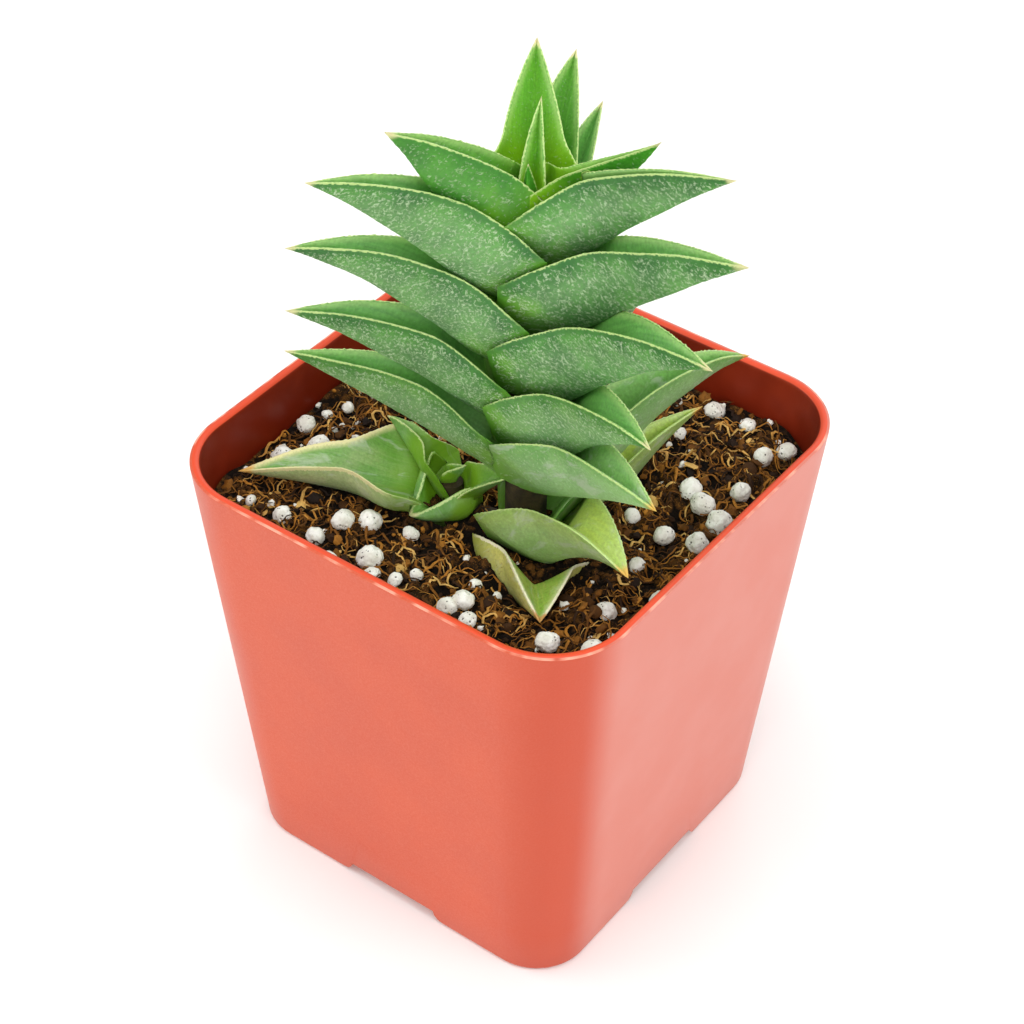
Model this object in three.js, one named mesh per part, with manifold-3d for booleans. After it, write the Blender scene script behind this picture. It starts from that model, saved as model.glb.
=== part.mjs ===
// Potted haworthia: a small square nursery pot, its potting soil with perlite,
// and a column of stiff folded leaves in three slowly turning ranks, with one offset.
// Millimetres, +Z up. The pot's sides run along X and Y. The origin is on the surface
// the pot stands on, under the middle of the whole object: leaves reach past the rim on
// the +X side, so the pot's own middle lies a little towards -X.

import * as THREE from 'three';
import { mergeVertices } from 'three/addons/utils/BufferGeometryUtils.js';
import Module from 'manifold-3d';

const wasm = await Module();
wasm.setup();

// The pot's middle, from the origin. All other places are given from the pot's middle.
const potMiddleX = -2.5;

// Pot
const potHeight = 64;
const potTopHalf = 32;
const potFootHalf = 26.1;
const potTopCorner = 11.1;
const potFootCorner = 7.6;
const potWall = 1.3;
const potFloorTop = 4.2;
const footHeight = 2.2;
const footGapHalf = 7;
const footEndRound = 3.2;
const footCurveIn = 0.6;
const footCurveUp = 0.3;
const rimBevel = 0.4;
const baseBevel = 0.8;
const drainRadius = 3;
const drainOffset = 15;

// Soil and perlite
const soilGap = 0.3;
const soilTop = 57.2;
const soilLump = 0.9;
const soilEdgeSink = 0.5;
const soilRings = 9;
const soilSpokes = 44;
const perliteCount = 16;
const stemClear = 11;
const pupClear = 7;

// Plant
const stemAt = [7, -6.7];
const stemRadius = 2.6;
const stemFoot = 38;
const stemTop = 102.5;
const leafClearance = 0.3;
const marginEdge = 0.75;

// Offset
const pupAt = [-4, -7.6];
const pupStemRadius = 1.5;
const pupStemTop = 59.6;
const pupStemStart = 56.2;
const pupStemBend = 54.4;

const leafGreen = new THREE.Color(0x4f8f4c);
const crownGreen = new THREE.Color(0x79b534);
const oldGreen = new THREE.Color(0x7f9a4a);

// ---------- small helpers ----------

const degrees = (value) => value * Math.PI / 180;

const blend = (a, b, share) => a + (b - a) * share;

const smooth = (value) => {
  const x = Math.min(Math.max(value, 0), 1);
  return x * x * (3 - 2 * x);
};

// Repeatable draw between 0 and 1.
function makeRandom(seed) {
  let state = seed;
  return () => {
    state = (state * 1664525 + 1013904223) % 4294967296;
    return state / 4294967296;
  };
}

function geometryFrom(points, faces) {
  const geometry = new THREE.BufferGeometry();
  const flat = points.flatMap((point) => [point.x, point.y, point.z]);
  geometry.setAttribute('position', new THREE.Float32BufferAttribute(flat, 3));
  geometry.setIndex(faces.flat());
  return geometry;
}

function toSolid(geometry) {
  const bare = geometry.clone();
  bare.deleteAttribute('normal');
  bare.deleteAttribute('uv');
  const merged = mergeVertices(bare, 1e-4);
  const mesh = new wasm.Mesh({
    numProp: 3,
    vertProperties: new Float32Array(merged.attributes.position.array),
    triVerts: new Uint32Array(merged.index.array),
  });
  return new wasm.Manifold(mesh);
}

function toGeometry(solid) {
  const mesh = solid.getMesh();
  const geometry = new THREE.BufferGeometry();
  geometry.setAttribute('position', new THREE.BufferAttribute(new Float32Array(mesh.vertProperties), 3));
  geometry.setIndex(new THREE.BufferAttribute(new Uint32Array(mesh.triVerts), 1));
  return geometry;
}

function largestBody(solid) {
  const bodies = solid.decompose();
  bodies.sort((a, b) => b.volume() - a.volume());
  return bodies[0];
}

function boxesTouch(a, b) {
  const boxA = a.boundingBox();
  const boxB = b.boundingBox();
  return [0, 1, 2].every((axis) => boxA.min[axis] < boxB.max[axis] && boxB.min[axis] < boxA.max[axis]);
}

// What is left of a solid beside its neighbours, as one body.
function trimmed(solid, neighbours) {
  let rest = solid;
  for (const neighbour of neighbours) {
    if (boxesTouch(rest, neighbour)) {
      rest = largestBody(rest.subtract(neighbour));
    }
  }
  return rest;
}

// A closed skin over rings of equal length, with a flat first ring and either a flat
// last ring or a point.
function skinOver(rings, firstCap, lastCap, tip) {
  const points = rings.flat();
  const size = rings[0].length;
  const faces = [];
  for (let ring = 0; ring < rings.length - 1; ring += 1) {
    for (let side = 0; side < size; side += 1) {
      const next = (side + 1) % size;
      const a = ring * size + side;
      const b = ring * size + next;
      const c = a + size;
      const d = b + size;
      faces.push([a, b, d], [a, d, c]);
    }
  }
  for (const [a, b, c] of firstCap) {
    faces.push([a, c, b]);
  }
  const last = (rings.length - 1) * size;
  if (tip) {
    points.push(tip);
    for (let side = 0; side < size; side += 1) {
      faces.push([last + side, last + (side + 1) % size, points.length - 1]);
    }
  } else {
    for (const [a, b, c] of lastCap) {
      faces.push([last + a, last + b, last + c]);
    }
  }
  return geometryFrom(points, faces);
}

function fan(size) {
  const faces = [];
  for (let side = 1; side < size - 1; side += 1) {
    faces.push([0, side, side + 1]);
  }
  return faces;
}

function mesh(name, geometry, material) {
  const made = new THREE.Mesh(geometry, material);
  made.name = name;
  return made;
}

// ---------- pot ----------

// Counter-clockwise outline of a square with round corners, at one height.
function roundedSquare(half, corner, z, steps) {
  const points = [];
  for (let quarter = 0; quarter < 4; quarter += 1) {
    const start = quarter * Math.PI / 2;
    const centre = Math.SQRT2 * (half - corner);
    const cx = centre * Math.cos(start + Math.PI / 4);
    const cy = centre * Math.sin(start + Math.PI / 4);
    for (let step = 0; step <= steps; step += 1) {
      const angle = start + step / steps * Math.PI / 2;
      points.push(new THREE.Vector3(cx + corner * Math.cos(angle), cy + corner * Math.sin(angle), z));
    }
  }
  return points;
}

// Half width and corner radius of the pot's outer face at a height.
function potSection(z) {
  const share = z / potHeight;
  return {
    half: blend(potFootHalf, potTopHalf, share),
    corner: blend(potFootCorner, potTopCorner, share),
  };
}

function potRing(z, inset) {
  const { half, corner } = potSection(z);
  return roundedSquare(half - inset, corner - inset, z, 6);
}

// The gap between two corner feet, right across the underside.
function footGap(alongX) {
  const reach = potTopHalf;
  const foot = footGapHalf + footEndRound;
  const outline = new THREE.Shape();
  outline.moveTo(-foot, -1);
  outline.lineTo(foot, -1);
  outline.lineTo(foot, 0);
  outline.quadraticCurveTo(footGapHalf + footCurveIn, footCurveUp, footGapHalf, footHeight);
  outline.lineTo(-footGapHalf, footHeight);
  outline.quadraticCurveTo(-footGapHalf - footCurveIn, footCurveUp, -foot, 0);
  outline.closePath();
  const gap = new THREE.ExtrudeGeometry(outline, {
    depth: 2 * reach,
    bevelEnabled: false,
    curveSegments: 4,
  });
  gap.rotateX(Math.PI / 2);
  gap.translate(0, reach, 0);
  if (alongX) {
    gap.rotateZ(Math.PI / 2);
  }
  return toSolid(gap);
}

function drainHole(x, y) {
  const hole = new THREE.CylinderGeometry(drainRadius, drainRadius, 4 * potFloorTop, 12);
  hole.rotateX(Math.PI / 2);
  hole.translate(x, y, potFloorTop);
  return toSolid(hole);
}

function makePot() {
  const rings = [
    potRing(0, baseBevel),
    potRing(baseBevel, 0),
    potRing(potHeight - rimBevel, 0),
    potRing(potHeight, rimBevel),
    potRing(potHeight, potWall - rimBevel),
    potRing(potHeight - rimBevel, potWall),
    potRing(potFloorTop, potWall),
  ];
  const cap = fan(rings[0].length);
  const shell = toSolid(skinOver(rings, cap, cap));
  const cuts = [
    footGap(false),
    footGap(true),
    drainHole(0, 0),
    drainHole(drainOffset, 0),
    drainHole(-drainOffset, 0),
    drainHole(0, drainOffset),
    drainHole(0, -drainOffset),
  ];
  const solid = cuts.reduce((rest, cut) => rest.subtract(cut), shell);
  const material = new THREE.MeshStandardMaterial({ color: 0xe0694f, roughness: 0.45, metalness: 0 });
  return mesh('pot', toGeometry(solid), material);
}

// ---------- leaves ----------

// Direction of the keel above the horizontal, from the leaf's base to its tip.
const keelRise = (leaf, t) => blend(leaf.rise, leaf.lift, t * t);

// Distance from the stem's axis and height of the keel, t of the way to the tip.
function keelPoint(leaf, t) {
  const steps = 24;
  let reach = leaf.root;
  let height = leaf.base;
  for (let step = 0; step < steps; step += 1) {
    const rise = degrees(keelRise(leaf, (step + 0.5) / steps * t));
    reach += Math.cos(rise) * leaf.length * t / steps;
    height += Math.sin(rise) * leaf.length * t / steps;
  }
  return { reach, height, rise: degrees(keelRise(leaf, t)) };
}

// The sheathing foot of the leaf, from the end of its blade (0) down to the stem (1).
function footPoint(leaf, b) {
  const rise = degrees(leaf.rise);
  const bend = leaf.foot * 0.45;
  const ends = [
    [leaf.root, leaf.base],
    [leaf.root - bend * Math.cos(rise), leaf.base - bend * Math.sin(rise)],
    [leaf.seat, leaf.base - leaf.foot],
  ];
  const [reach, height] = [0, 1].map((axis) => (
    (1 - b) ** 2 * ends[0][axis] + 2 * b * (1 - b) * ends[1][axis] + b * b * ends[2][axis]
  ));
  return { reach, height, rise: blend(rise, degrees(84), b) };
}

// Half width and depth of the folded section.
function bladeSection(leaf, t) {
  const flare = blend(leaf.wrap, leaf.half, smooth(t / 0.4));
  return {
    half: flare * (1 - t) ** 0.95 * (1 + 0.8 * t),
    deep: leaf.deep * (1 - t ** 2) ** 1.1,
    keel: blend(2.1, 3.3, smooth(t / 0.5)) * leaf.scale,
    belly: leaf.belly,
  };
}

function footSection(leaf, b) {
  return {
    half: leaf.wrap * blend(1, 0.52, b),
    deep: blend(leaf.deep, leaf.seat + 1.2, b),
    keel: 2.1 * leaf.scale,
    belly: leaf.belly * (1 - b),
  };
}

const outerAcross = [-1, -0.55, 0, 0.55, 1];
const innerAcross = [1, 0, -1];

// Outline of the folded section: across the leaf, and up from its keel. A leaf with a
// belly is widest below its margins, and a rolled leaf lies turned about its length.
function sectionOutline({ half, deep, keel, belly }, grow, roll) {
  const edge = Math.min(marginEdge, 0.8 * half) + grow;
  const wide = half + grow;
  const inside = Math.max(wide - edge - grow, 0.12 * half);
  const bottom = Math.min(keel, 0.55 * deep) + grow;
  const outer = outerAcross.map((u) => [
    wide * u * (1 + belly * (1 - u * u)),
    -grow + (deep + 2 * grow) * Math.abs(u) ** 1.5,
  ]);
  const lip = deep * 0.985 + grow;
  const inner = innerAcross.map((u) => [inside * u, bottom + (lip - bottom) * Math.abs(u) ** 1.3]);
  const turn = degrees(roll);
  return [...outer, ...inner].map(([across, up]) => {
    const rise = up - deep / 2;
    return [
      Math.cos(turn) * across - Math.sin(turn) * rise,
      Math.sin(turn) * across + Math.cos(turn) * rise + deep / 2,
    ];
  });
}

function placeSection(leaf, outline, point) {
  const turn = degrees(leaf.turn);
  return outline.map(([across, up]) => {
    const reach = point.reach - Math.sin(point.rise) * up;
    return new THREE.Vector3(
      leaf.axis[0] + reach * Math.cos(turn) - across * Math.sin(turn),
      leaf.axis[1] + reach * Math.sin(turn) + across * Math.cos(turn),
      point.height + Math.cos(point.rise) * up,
    );
  });
}

const footStations = [1, 0.5];
const bladeStations = [0, 0.12, 0.26, 0.42, 0.57, 0.71, 0.84, 0.94];

// One leaf as a solid. With grow above 0 it is the room that the leaf needs.
function leafSolid(leaf, grow) {
  const rings = [];
  for (const b of footStations) {
    const outline = sectionOutline(footSection(leaf, b), grow, leaf.roll);
    rings.push(placeSection(leaf, outline, footPoint(leaf, b)));
  }
  for (const t of bladeStations) {
    const outline = sectionOutline(bladeSection(leaf, t), grow, leaf.roll);
    rings.push(placeSection(leaf, outline, keelPoint(leaf, t)));
  }
  const end = keelPoint(leaf, 1);
  const tip = placeSection(leaf, [[0, 0]], {
    reach: end.reach + grow * Math.cos(end.rise),
    height: end.height + grow * Math.sin(end.rise),
    rise: end.rise,
  })[0];
  const foot = sectionOutline(footSection(leaf, footStations[0]), grow, leaf.roll);
  const flat = foot.map(([x, y]) => new THREE.Vector2(x, y));
  const cap = THREE.ShapeUtils.triangulateShape(flat, []);
  return toSolid(skinOver(rings, cap, null, tip));
}

const bigLeaf = { axis: stemAt, root: 7.2, wrap: 6.7, seat: 4, foot: 2, scale: 1, roll: 0, belly: 0 };

// Leaves of the column, from the youngest down. turn is the way the leaf points, base
// the height where its blade starts, rise and lift its slope there and at its tip, half
// and deep the half width and depth of its fold.
const columnLeaves = [
  { name: 'leaf_crown_3', turn: 200, base: 104, length: 4.4, rise: 84, lift: 88, half: 0.6, deep: 1.4 },
  { name: 'leaf_crown_2', turn: 298, base: 104, length: 9.3, rise: 81, lift: 85, half: 1, deep: 2.4 },
  { name: 'leaf_crown_1', turn: 118, base: 103, length: 13.5, rise: 70, lift: 74, half: 1.8, deep: 4 },
  { name: 'leaf_right_1', turn: 10.5, base: 102, length: 21.1, rise: 46, lift: 62, half: 1.2, deep: 5.9 },
  { name: 'leaf_left_1', turn: 235, base: 100, length: 21.5, rise: 60, lift: 57, half: 2.8, deep: 9.8 },
  { name: 'leaf_back_1', turn: 125, base: 99, length: 21, rise: 45, lift: 53, half: 4.2, deep: 9.7 },
  { name: 'leaf_right_2', turn: 1.2, base: 99.9, length: 28, rise: 46, lift: 38, half: 1, deep: 8.9 },
  { name: 'leaf_left_2', turn: 232, base: 95.5, length: 25.5, rise: 47, lift: 34, half: 2.6, deep: 9.7 },
  { name: 'leaf_back_2', turn: 115, base: 91.5, length: 27, rise: 45, lift: 40, half: 4.4, deep: 9.6 },
  { name: 'leaf_right_3', turn: -3, base: 91, length: 30, rise: 43, lift: 37, half: 2.8, deep: 9.6 },
  { name: 'leaf_left_3', turn: 221, base: 85.5, length: 26, rise: 44, lift: 20, half: 3.4, deep: 9.5 },
  { name: 'leaf_back_3', turn: 109, base: 84, length: 28.5, rise: 43, lift: 30, half: 3.6, deep: 9.5 },
  { name: 'leaf_right_4', turn: -15, base: 81.5, length: 31, rise: 46, lift: 25, half: 3.8, deep: 9.4 },
  { name: 'leaf_left_4', turn: 210, base: 76, length: 25, rise: 34, lift: 17, half: 3.3, deep: 9.3 },
  { name: 'leaf_back_4', turn: 103, base: 76, length: 28, rise: 41, lift: 20, half: 3.6, deep: 9.3 },
  { name: 'leaf_right_5', turn: -22, base: 73, length: 24, rise: 47, lift: 22, half: 4, deep: 9.2 },
  { name: 'leaf_left_5', turn: 201, base: 67.5, length: 26, rise: 26, lift: 20, half: 3, deep: 9.1 },
  { name: 'leaf_back_5', turn: 92, base: 67, length: 28, rise: 36, lift: 8, half: 3.6, deep: 9.4 },
  { name: 'leaf_right_6', turn: -22, base: 67.5, length: 24, rise: 35, lift: 26, half: 3.6, deep: 8.8 },
  { name: 'leaf_back_6', turn: 74, base: 57, length: 31.5, rise: 32, lift: -5, half: 3.4, deep: 10.2 },
  { name: 'leaf_right_7', turn: -23, base: 56.8, length: 19.5, rise: 46, lift: 4, half: 5.2, deep: 8 },
  { name: 'leaf_back_7', turn: 74, base: 47.5, length: 26.5, rise: 42, lift: 22, half: 3, deep: 8.6 },
  { name: 'leaf_right_8', turn: -49, base: 50.8, length: 15.4, rise: 41, lift: 28.5, half: 5.3, deep: 7.6 },
].map((leaf) => ({ ...bigLeaf, ...leaf }));

const crownLeaf = { root: 2.2, wrap: 1.8, seat: 1.6, foot: 3, scale: 0.45 };
for (const leaf of columnLeaves.filter((each) => each.name.includes('crown'))) {
  Object.assign(leaf, crownLeaf);
}

const smallLeaf = { ...bigLeaf, axis: pupAt, root: 3, wrap: 4.2, seat: 1.9, scale: 0.5 };

// Leaves of the offset, the youngest first: a closed bud, three short leaves round it,
// and one long leaf that lies out over the soil.
const pupLeaves = [
  { name: 'pup_bud', turn: 20, base: 60, length: 3, rise: 62, lift: 74, half: 1, deep: 2 },
  { name: 'pup_leaf_1', turn: 168.5, base: 58.5, length: 9.1, rise: 35, lift: 11, half: 1.5, deep: 3.6 },
  { name: 'pup_leaf_2', turn: 351, base: 58.3, length: 10.6, rise: 55, lift: 44, half: 2.8, deep: 3.2 },
  { name: 'pup_leaf_4', turn: 211, base: 56.2, length: 20.7, rise: 7.3, lift: 5.5, half: 3.7, deep: 6.4 },
  { name: 'pup_leaf_3', turn: 257.5, base: 54.6, length: 5.8, rise: 22, lift: 55, half: 4, deep: 7.2 },
].map((leaf) => ({ ...smallLeaf, ...leaf }));

// What single leaves have of their own: the start and reach of their sheath, their roll
// and their belly, and the room that the younger leaves leave in front of them.
const ownForms = {
  leaf_crown_3: { root: 1, wrap: 1, seat: 0.8 },
  leaf_crown_2: { wrap: 1.4 },
  leaf_right_1: { root: 2.2, wrap: 6.6, seat: 1.8, roll: 2.7 },
  leaf_left_1: { root: 6, wrap: 5.2, seat: 3 },
  leaf_right_2: { root: 5.8, wrap: 5.4, roll: 9 },
  leaf_right_7: { wrap: 8.5, roll: -7 },
  leaf_right_8: { root: 8.2, wrap: 8.1, roll: -15.4, belly: 0.32 },
  pup_bud: { root: 0.8, wrap: 1.1, seat: 0.6, belly: 0.4 },
  pup_leaf_1: { root: 4.5, roll: 28 },
  pup_leaf_2: { root: 4, wrap: 3.8, roll: 30, belly: 0.2 },
  pup_leaf_3: {
    root: 2.1,
    wrap: 4.3,
    roll: -2,
    belly: 1.3,
    clearInFront: { across: -1.6, out: -6.5, turn: 39.3, wide: 8, front: 20, back: 1.5, top: 61.2 },
  },
  pup_leaf_4: { root: 6.7, wrap: 8, foot: 5, roll: 3.4, belly: 0.5, scale: 0.8 },
};
for (const leaf of [...columnLeaves, ...pupLeaves]) {
  Object.assign(leaf, ownForms[leaf.name]);
}

function leafMaterial(leaf) {
  const young = smooth((leaf.base - 92) / 14);
  const old = smooth((62 - leaf.base) / 14);
  const color = leafGreen.clone().lerp(crownGreen, young).lerp(oldGreen, old);
  return new THREE.MeshStandardMaterial({ color, roughness: 0.55, metalness: 0 });
}

// Upright room in front of a leaf, where no younger leaf shows its sheath.
function clearedRoom(leaf) {
  const { across, out, turn, wide, front, back, top } = leaf.clearInFront;
  const room = new THREE.BoxGeometry(wide, front + back, top);
  room.translate(wide / 2, (back - front) / 2, top / 2);
  room.rotateZ(degrees(turn));
  room.translate(leaf.axis[0] + across, leaf.axis[1] + out, 0);
  return toSolid(room);
}

// Older leaves keep their form, and each younger leaf is tucked in beside them.
function tuckedLeaves(leaves, around) {
  const rooms = [...around];
  const spaces = [];
  const tucked = [];
  for (const leaf of [...leaves].reverse()) {
    tucked.push({ leaf, solid: trimmed(leafSolid(leaf, 0), [...rooms, ...spaces]) });
    rooms.push(leafSolid(leaf, leafClearance));
    if (leaf.clearInFront) {
      spaces.push(clearedRoom(leaf));
    }
  }
  return { tucked, rooms };
}

// ---------- stems ----------

function mainStemGeometry(grow) {
  const profile = [
    [0, stemFoot - grow],
    [1.2 + grow, stemFoot + 0.5 - grow],
    [stemRadius + grow, stemFoot + 6],
    [stemRadius + grow, stemTop - 9],
    [1.2 + grow, stemTop + grow],
    [0, stemTop + 0.4 + grow],
  ].map(([radius, z]) => new THREE.Vector2(radius, z));
  const stem = new THREE.LatheGeometry(profile, 12);
  stem.rotateX(Math.PI / 2);
  stem.translate(stemAt[0], stemAt[1], 0);
  return stem;
}

// The offset's stem leaves the side of the main stem and turns up.
function pupStemGeometry(grow) {
  const start = stemAt[0] - stemRadius - leafClearance;
  const path = new THREE.QuadraticBezierCurve3(
    new THREE.Vector3(start + grow, stemAt[1], pupStemStart),
    new THREE.Vector3(pupAt[0], pupAt[1], pupStemBend),
    new THREE.Vector3(pupAt[0], pupAt[1], pupStemTop + grow),
  );
  const ring = new THREE.Shape();
  ring.absarc(0, 0, pupStemRadius + grow, 0, 2 * Math.PI);
  return new THREE.ExtrudeGeometry(ring, { steps: 6, curveSegments: 9, extrudePath: path });
}

// ---------- soil ----------

// Height of the loose surface: broad lumps, lower along the wall.
function soilHeight(x, y) {
  const broad = Math.sin(0.21 * x + 1.1) * Math.cos(0.17 * y - 0.6);
  const small = Math.sin(0.63 * x - 0.4 * y) * Math.cos(0.55 * y + 0.3 * x + 2);
  return soilTop + soilLump * (0.7 * broad + 0.45 * small);
}

// Outline of the soil at a height, just clear of the pot's wall.
function soilOutline(z) {
  const { half, corner } = potSection(z);
  const inset = potWall + soilGap;
  return roundedSquare(half - inset, corner - inset, z, soilSpokes / 4 - 1);
}

function soilBody() {
  const outline = soilOutline(soilTop);
  const rings = [soilOutline(potFloorTop + soilGap)];
  for (let ring = soilRings; ring >= 1; ring -= 1) {
    const share = ring / soilRings;
    const sink = ring === soilRings ? soilEdgeSink : 0;
    rings.push(outline.map((point) => {
      const x = point.x * share;
      const y = point.y * share;
      return new THREE.Vector3(x, y, soilHeight(x, y) - sink);
    }));
  }
  const middle = new THREE.Vector3(0, 0, soilHeight(0, 0));
  return toSolid(skinOver(rings, fan(outline.length), null, middle));
}

// Perlite grains seen on the surface: place and width.
const perliteSeen = [
  [-18, -24, 2.6], [-11, -20.6, 3], [-8.6, -18.2, 3], [-12.6, -24, 2.5], [-4.4, -23.6, 3.2],
  [-2.4, -25.6, 1.9], [0.4, -24.6, 2.1], [9.6, -22.8, 2.8], [8.6, -24.6, 2.5], [12, -25.2, 2.2],
  [22, -22.6, 2.9], [24, -13.4, 2.8], [19.6, 11.5, 3.1], [22.8, 9.4, 3.2], [13.4, 26.6, 2.8],
  [25.2, 14.4, 2.8], [23.8, 22, 2.6], [25.2, 25.4, 2.6], [26.6, 7.4, 3.6], [21.8, 2.2, 3],
  [26.6, 2.5, 2.9], [22.2, -4.2, 2], [-27.6, -8, 2.4], [-23.2, -10.8, 3.2], [-26, -14.6, 2.8],
];

// A rough rounded grain, a little flattened and turned.
function grain(x, y, width, random) {
  const shape = new THREE.IcosahedronGeometry(width / 2, 0);
  shape.scale(1 + 0.25 * (random() - 0.5), 1 + 0.25 * (random() - 0.5), 0.85);
  shape.rotateZ(random() * Math.PI);
  shape.rotateX((random() - 0.5) * 0.8);
  shape.translate(x, y, soilHeight(x, y) + width * 0.2);
  return toSolid(shape);
}

function insidePot(x, y, margin) {
  const { half, corner } = potSection(soilTop);
  const reach = half - potWall - soilGap - margin;
  const round = Math.max(corner - potWall - soilGap - margin, 1);
  const dx = Math.max(Math.abs(x) - (reach - round), 0);
  const dy = Math.max(Math.abs(y) - (reach - round), 0);
  return Math.abs(x) < reach && Math.abs(y) < reach && Math.hypot(dx, dy) < round;
}

function perlitePlaces(random) {
  const places = perliteSeen.map(([x, y, width]) => ({ x, y, width }));
  while (places.length < perliteSeen.length + perliteCount) {
    const x = (random() * 2 - 1) * potTopHalf;
    const y = (random() * 2 - 1) * potTopHalf;
    const width = 1.7 + 1.4 * random() ** 2;
    const apart = places.every((other) => (
      Math.hypot(x - other.x, y - other.y) > (width + other.width) * 0.62
    ));
    const fromStem = Math.hypot(x - stemAt[0], y - stemAt[1]);
    const fromPup = Math.hypot(x - pupAt[0], y - pupAt[1]);
    const clear = fromStem > stemClear && fromPup > pupClear;
    if (apart && clear && insidePot(x, y, width / 2)) {
      places.push({ x, y, width });
    }
  }
  return places.filter((place) => insidePot(place.x, place.y, place.width / 2 + 0.2));
}

function makeSoil(rooms) {
  const random = makeRandom(11);
  let soil = soilBody();
  for (const place of perlitePlaces(random)) {
    soil = soil.add(grain(place.x, place.y, place.width, random));
  }
  soil = trimmed(soil, rooms);
  const material = new THREE.MeshStandardMaterial({ color: 0x3a2418, roughness: 0.95, metalness: 0 });
  return mesh('soil', toGeometry(soil), material);
}

// ---------- the whole plant ----------

const stemMaterial = new THREE.MeshStandardMaterial({ color: 0x9a8a55, roughness: 0.8, metalness: 0 });
const stemRoom = toSolid(mainStemGeometry(leafClearance));
const pupStemRoom = toSolid(pupStemGeometry(leafClearance));

const column = tuckedLeaves(columnLeaves, [stemRoom]);
const pupStem = trimmed(toSolid(pupStemGeometry(0)), column.rooms);
const pup = tuckedLeaves(pupLeaves, [...column.rooms, pupStemRoom]);

const group = new THREE.Group();
group.position.x = potMiddleX;
group.add(makePot());
group.add(makeSoil(pup.rooms));
group.add(mesh('stem', mainStemGeometry(0), stemMaterial));
group.add(mesh('pup_stem', toGeometry(pupStem), stemMaterial));
for (const { leaf, solid } of [...column.tucked, ...pup.tucked]) {
  group.add(mesh(leaf.name, toGeometry(solid), leafMaterial(leaf)));
}

export default group;
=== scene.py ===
import math
import random

import bpy
import bmesh
import numpy as np
from mathutils import Matrix, Vector, noise
from mathutils.bvhtree import BVHTree


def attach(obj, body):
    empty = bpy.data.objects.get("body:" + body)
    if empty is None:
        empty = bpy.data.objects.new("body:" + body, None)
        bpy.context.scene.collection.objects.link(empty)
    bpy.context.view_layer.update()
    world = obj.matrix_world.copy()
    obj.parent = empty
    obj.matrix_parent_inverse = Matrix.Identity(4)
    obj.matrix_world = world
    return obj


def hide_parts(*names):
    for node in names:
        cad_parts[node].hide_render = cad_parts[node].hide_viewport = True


# Potted haworthia: a small square pot, soil with perlite and coir, a column of folded leaves in
# three ranks, and one offset. Sizes in the dictionaries are millimetres from the pot's middle.

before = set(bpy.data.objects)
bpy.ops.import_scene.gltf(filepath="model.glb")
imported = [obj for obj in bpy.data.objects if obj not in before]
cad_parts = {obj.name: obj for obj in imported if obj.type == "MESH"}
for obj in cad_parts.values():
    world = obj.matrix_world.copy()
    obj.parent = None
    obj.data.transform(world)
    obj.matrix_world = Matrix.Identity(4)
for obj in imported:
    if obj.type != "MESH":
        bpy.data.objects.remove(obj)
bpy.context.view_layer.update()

mm = 0.001
potMiddleX = -2.5          # the pot's middle, from the frame's origin


def toFrame(points):
    # millimetres from the pot's middle, to metres in the frame
    return (np.asarray(points, float) + (potMiddleX, 0, 0)) * mm


def blend(a, b, share):
    return a + (b - a) * share


def smooth(value):
    x = np.clip(value, 0, 1)
    return x * x * (3 - 2 * x)


# ---- camera, floor and light

camera = {
    "place": (147.5, -205.85, 272.59),
    "azimuth": 36.08,
    "elevation": 40.99,
    "roll": 0.858,
    "lens": 91.88,
    "sensor": 36,
}


def makeCamera():
    data = bpy.data.cameras.new("camera")
    data.lens = camera["lens"]
    data.sensor_width = camera["sensor"]
    data.clip_start = 0.01
    data.clip_end = 20
    eye = bpy.data.objects.new("camera", data)
    bpy.context.scene.collection.objects.link(eye)
    turn, tilt, roll = (math.radians(camera[k]) for k in ("azimuth", "elevation", "roll"))
    level = math.cos(tilt)
    back = Vector((math.sin(turn) * level, -math.cos(turn) * level, math.sin(tilt)))
    right = Vector((math.cos(turn), math.sin(turn), 0))
    up = back.cross(right)
    across = math.cos(roll) * right + math.sin(roll) * up
    upright = -math.sin(roll) * right + math.cos(roll) * up
    place = Matrix((across, upright, back)).transposed().to_4x4()
    place.translation = Vector(camera["place"]) * mm
    eye.matrix_world = place
    bpy.context.scene.camera = eye


lights = {
    # name: place in metres, width and height, watts
    "left softbox": ((-0.75, -0.45, 0.5), (0.7, 0.7), 3.2),
    "right softbox": ((0.85, 0.05, 0.5), (0.7, 0.7), 3.0),
    "top softbox": ((0.05, -0.15, 1.1), (0.8, 0.8), 5.6),
    "front softbox": ((0.5, -0.8, 0.62), (0.8, 0.8), 4.2),
    "back softbox": ((-0.2, 0.9, 0.6), (0.9, 0.6), 2.6),
}
skyStrength = 0.44


def makeLights():
    for name, (place, size, watts) in lights.items():
        data = bpy.data.lights.new(name, "AREA")
        data.shape = "RECTANGLE"
        data.size, data.size_y = size
        data.energy = watts
        lamp = bpy.data.objects.new(name, data)
        bpy.context.scene.collection.objects.link(lamp)
        lamp.location = place
        aim = Vector((0, 0, 0.06)) - Vector(place)
        lamp.rotation_euler = aim.to_track_quat("-Z", "Y").to_euler()
    world = bpy.data.worlds.new("studio")
    world.use_nodes = True
    sky = world.node_tree.nodes["Background"]
    sky.inputs["Color"].default_value = (1, 1, 1, 1)
    sky.inputs["Strength"].default_value = skyStrength
    bpy.context.scene.world = world
    bpy.context.scene.view_settings.view_transform = "Standard"


def deselect():
    bpy.ops.object.select_all(action="DESELECT")


def pick(obj):
    deselect()
    obj.select_set(True)
    bpy.context.view_layer.objects.active = obj


def makeFloor():
    deselect()
    bpy.ops.mesh.primitive_plane_add(size=12)
    floor = bpy.context.object
    floor.name = "floor"
    floor.data.materials.append(floorMaterial())


# ---- shader helpers

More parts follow.
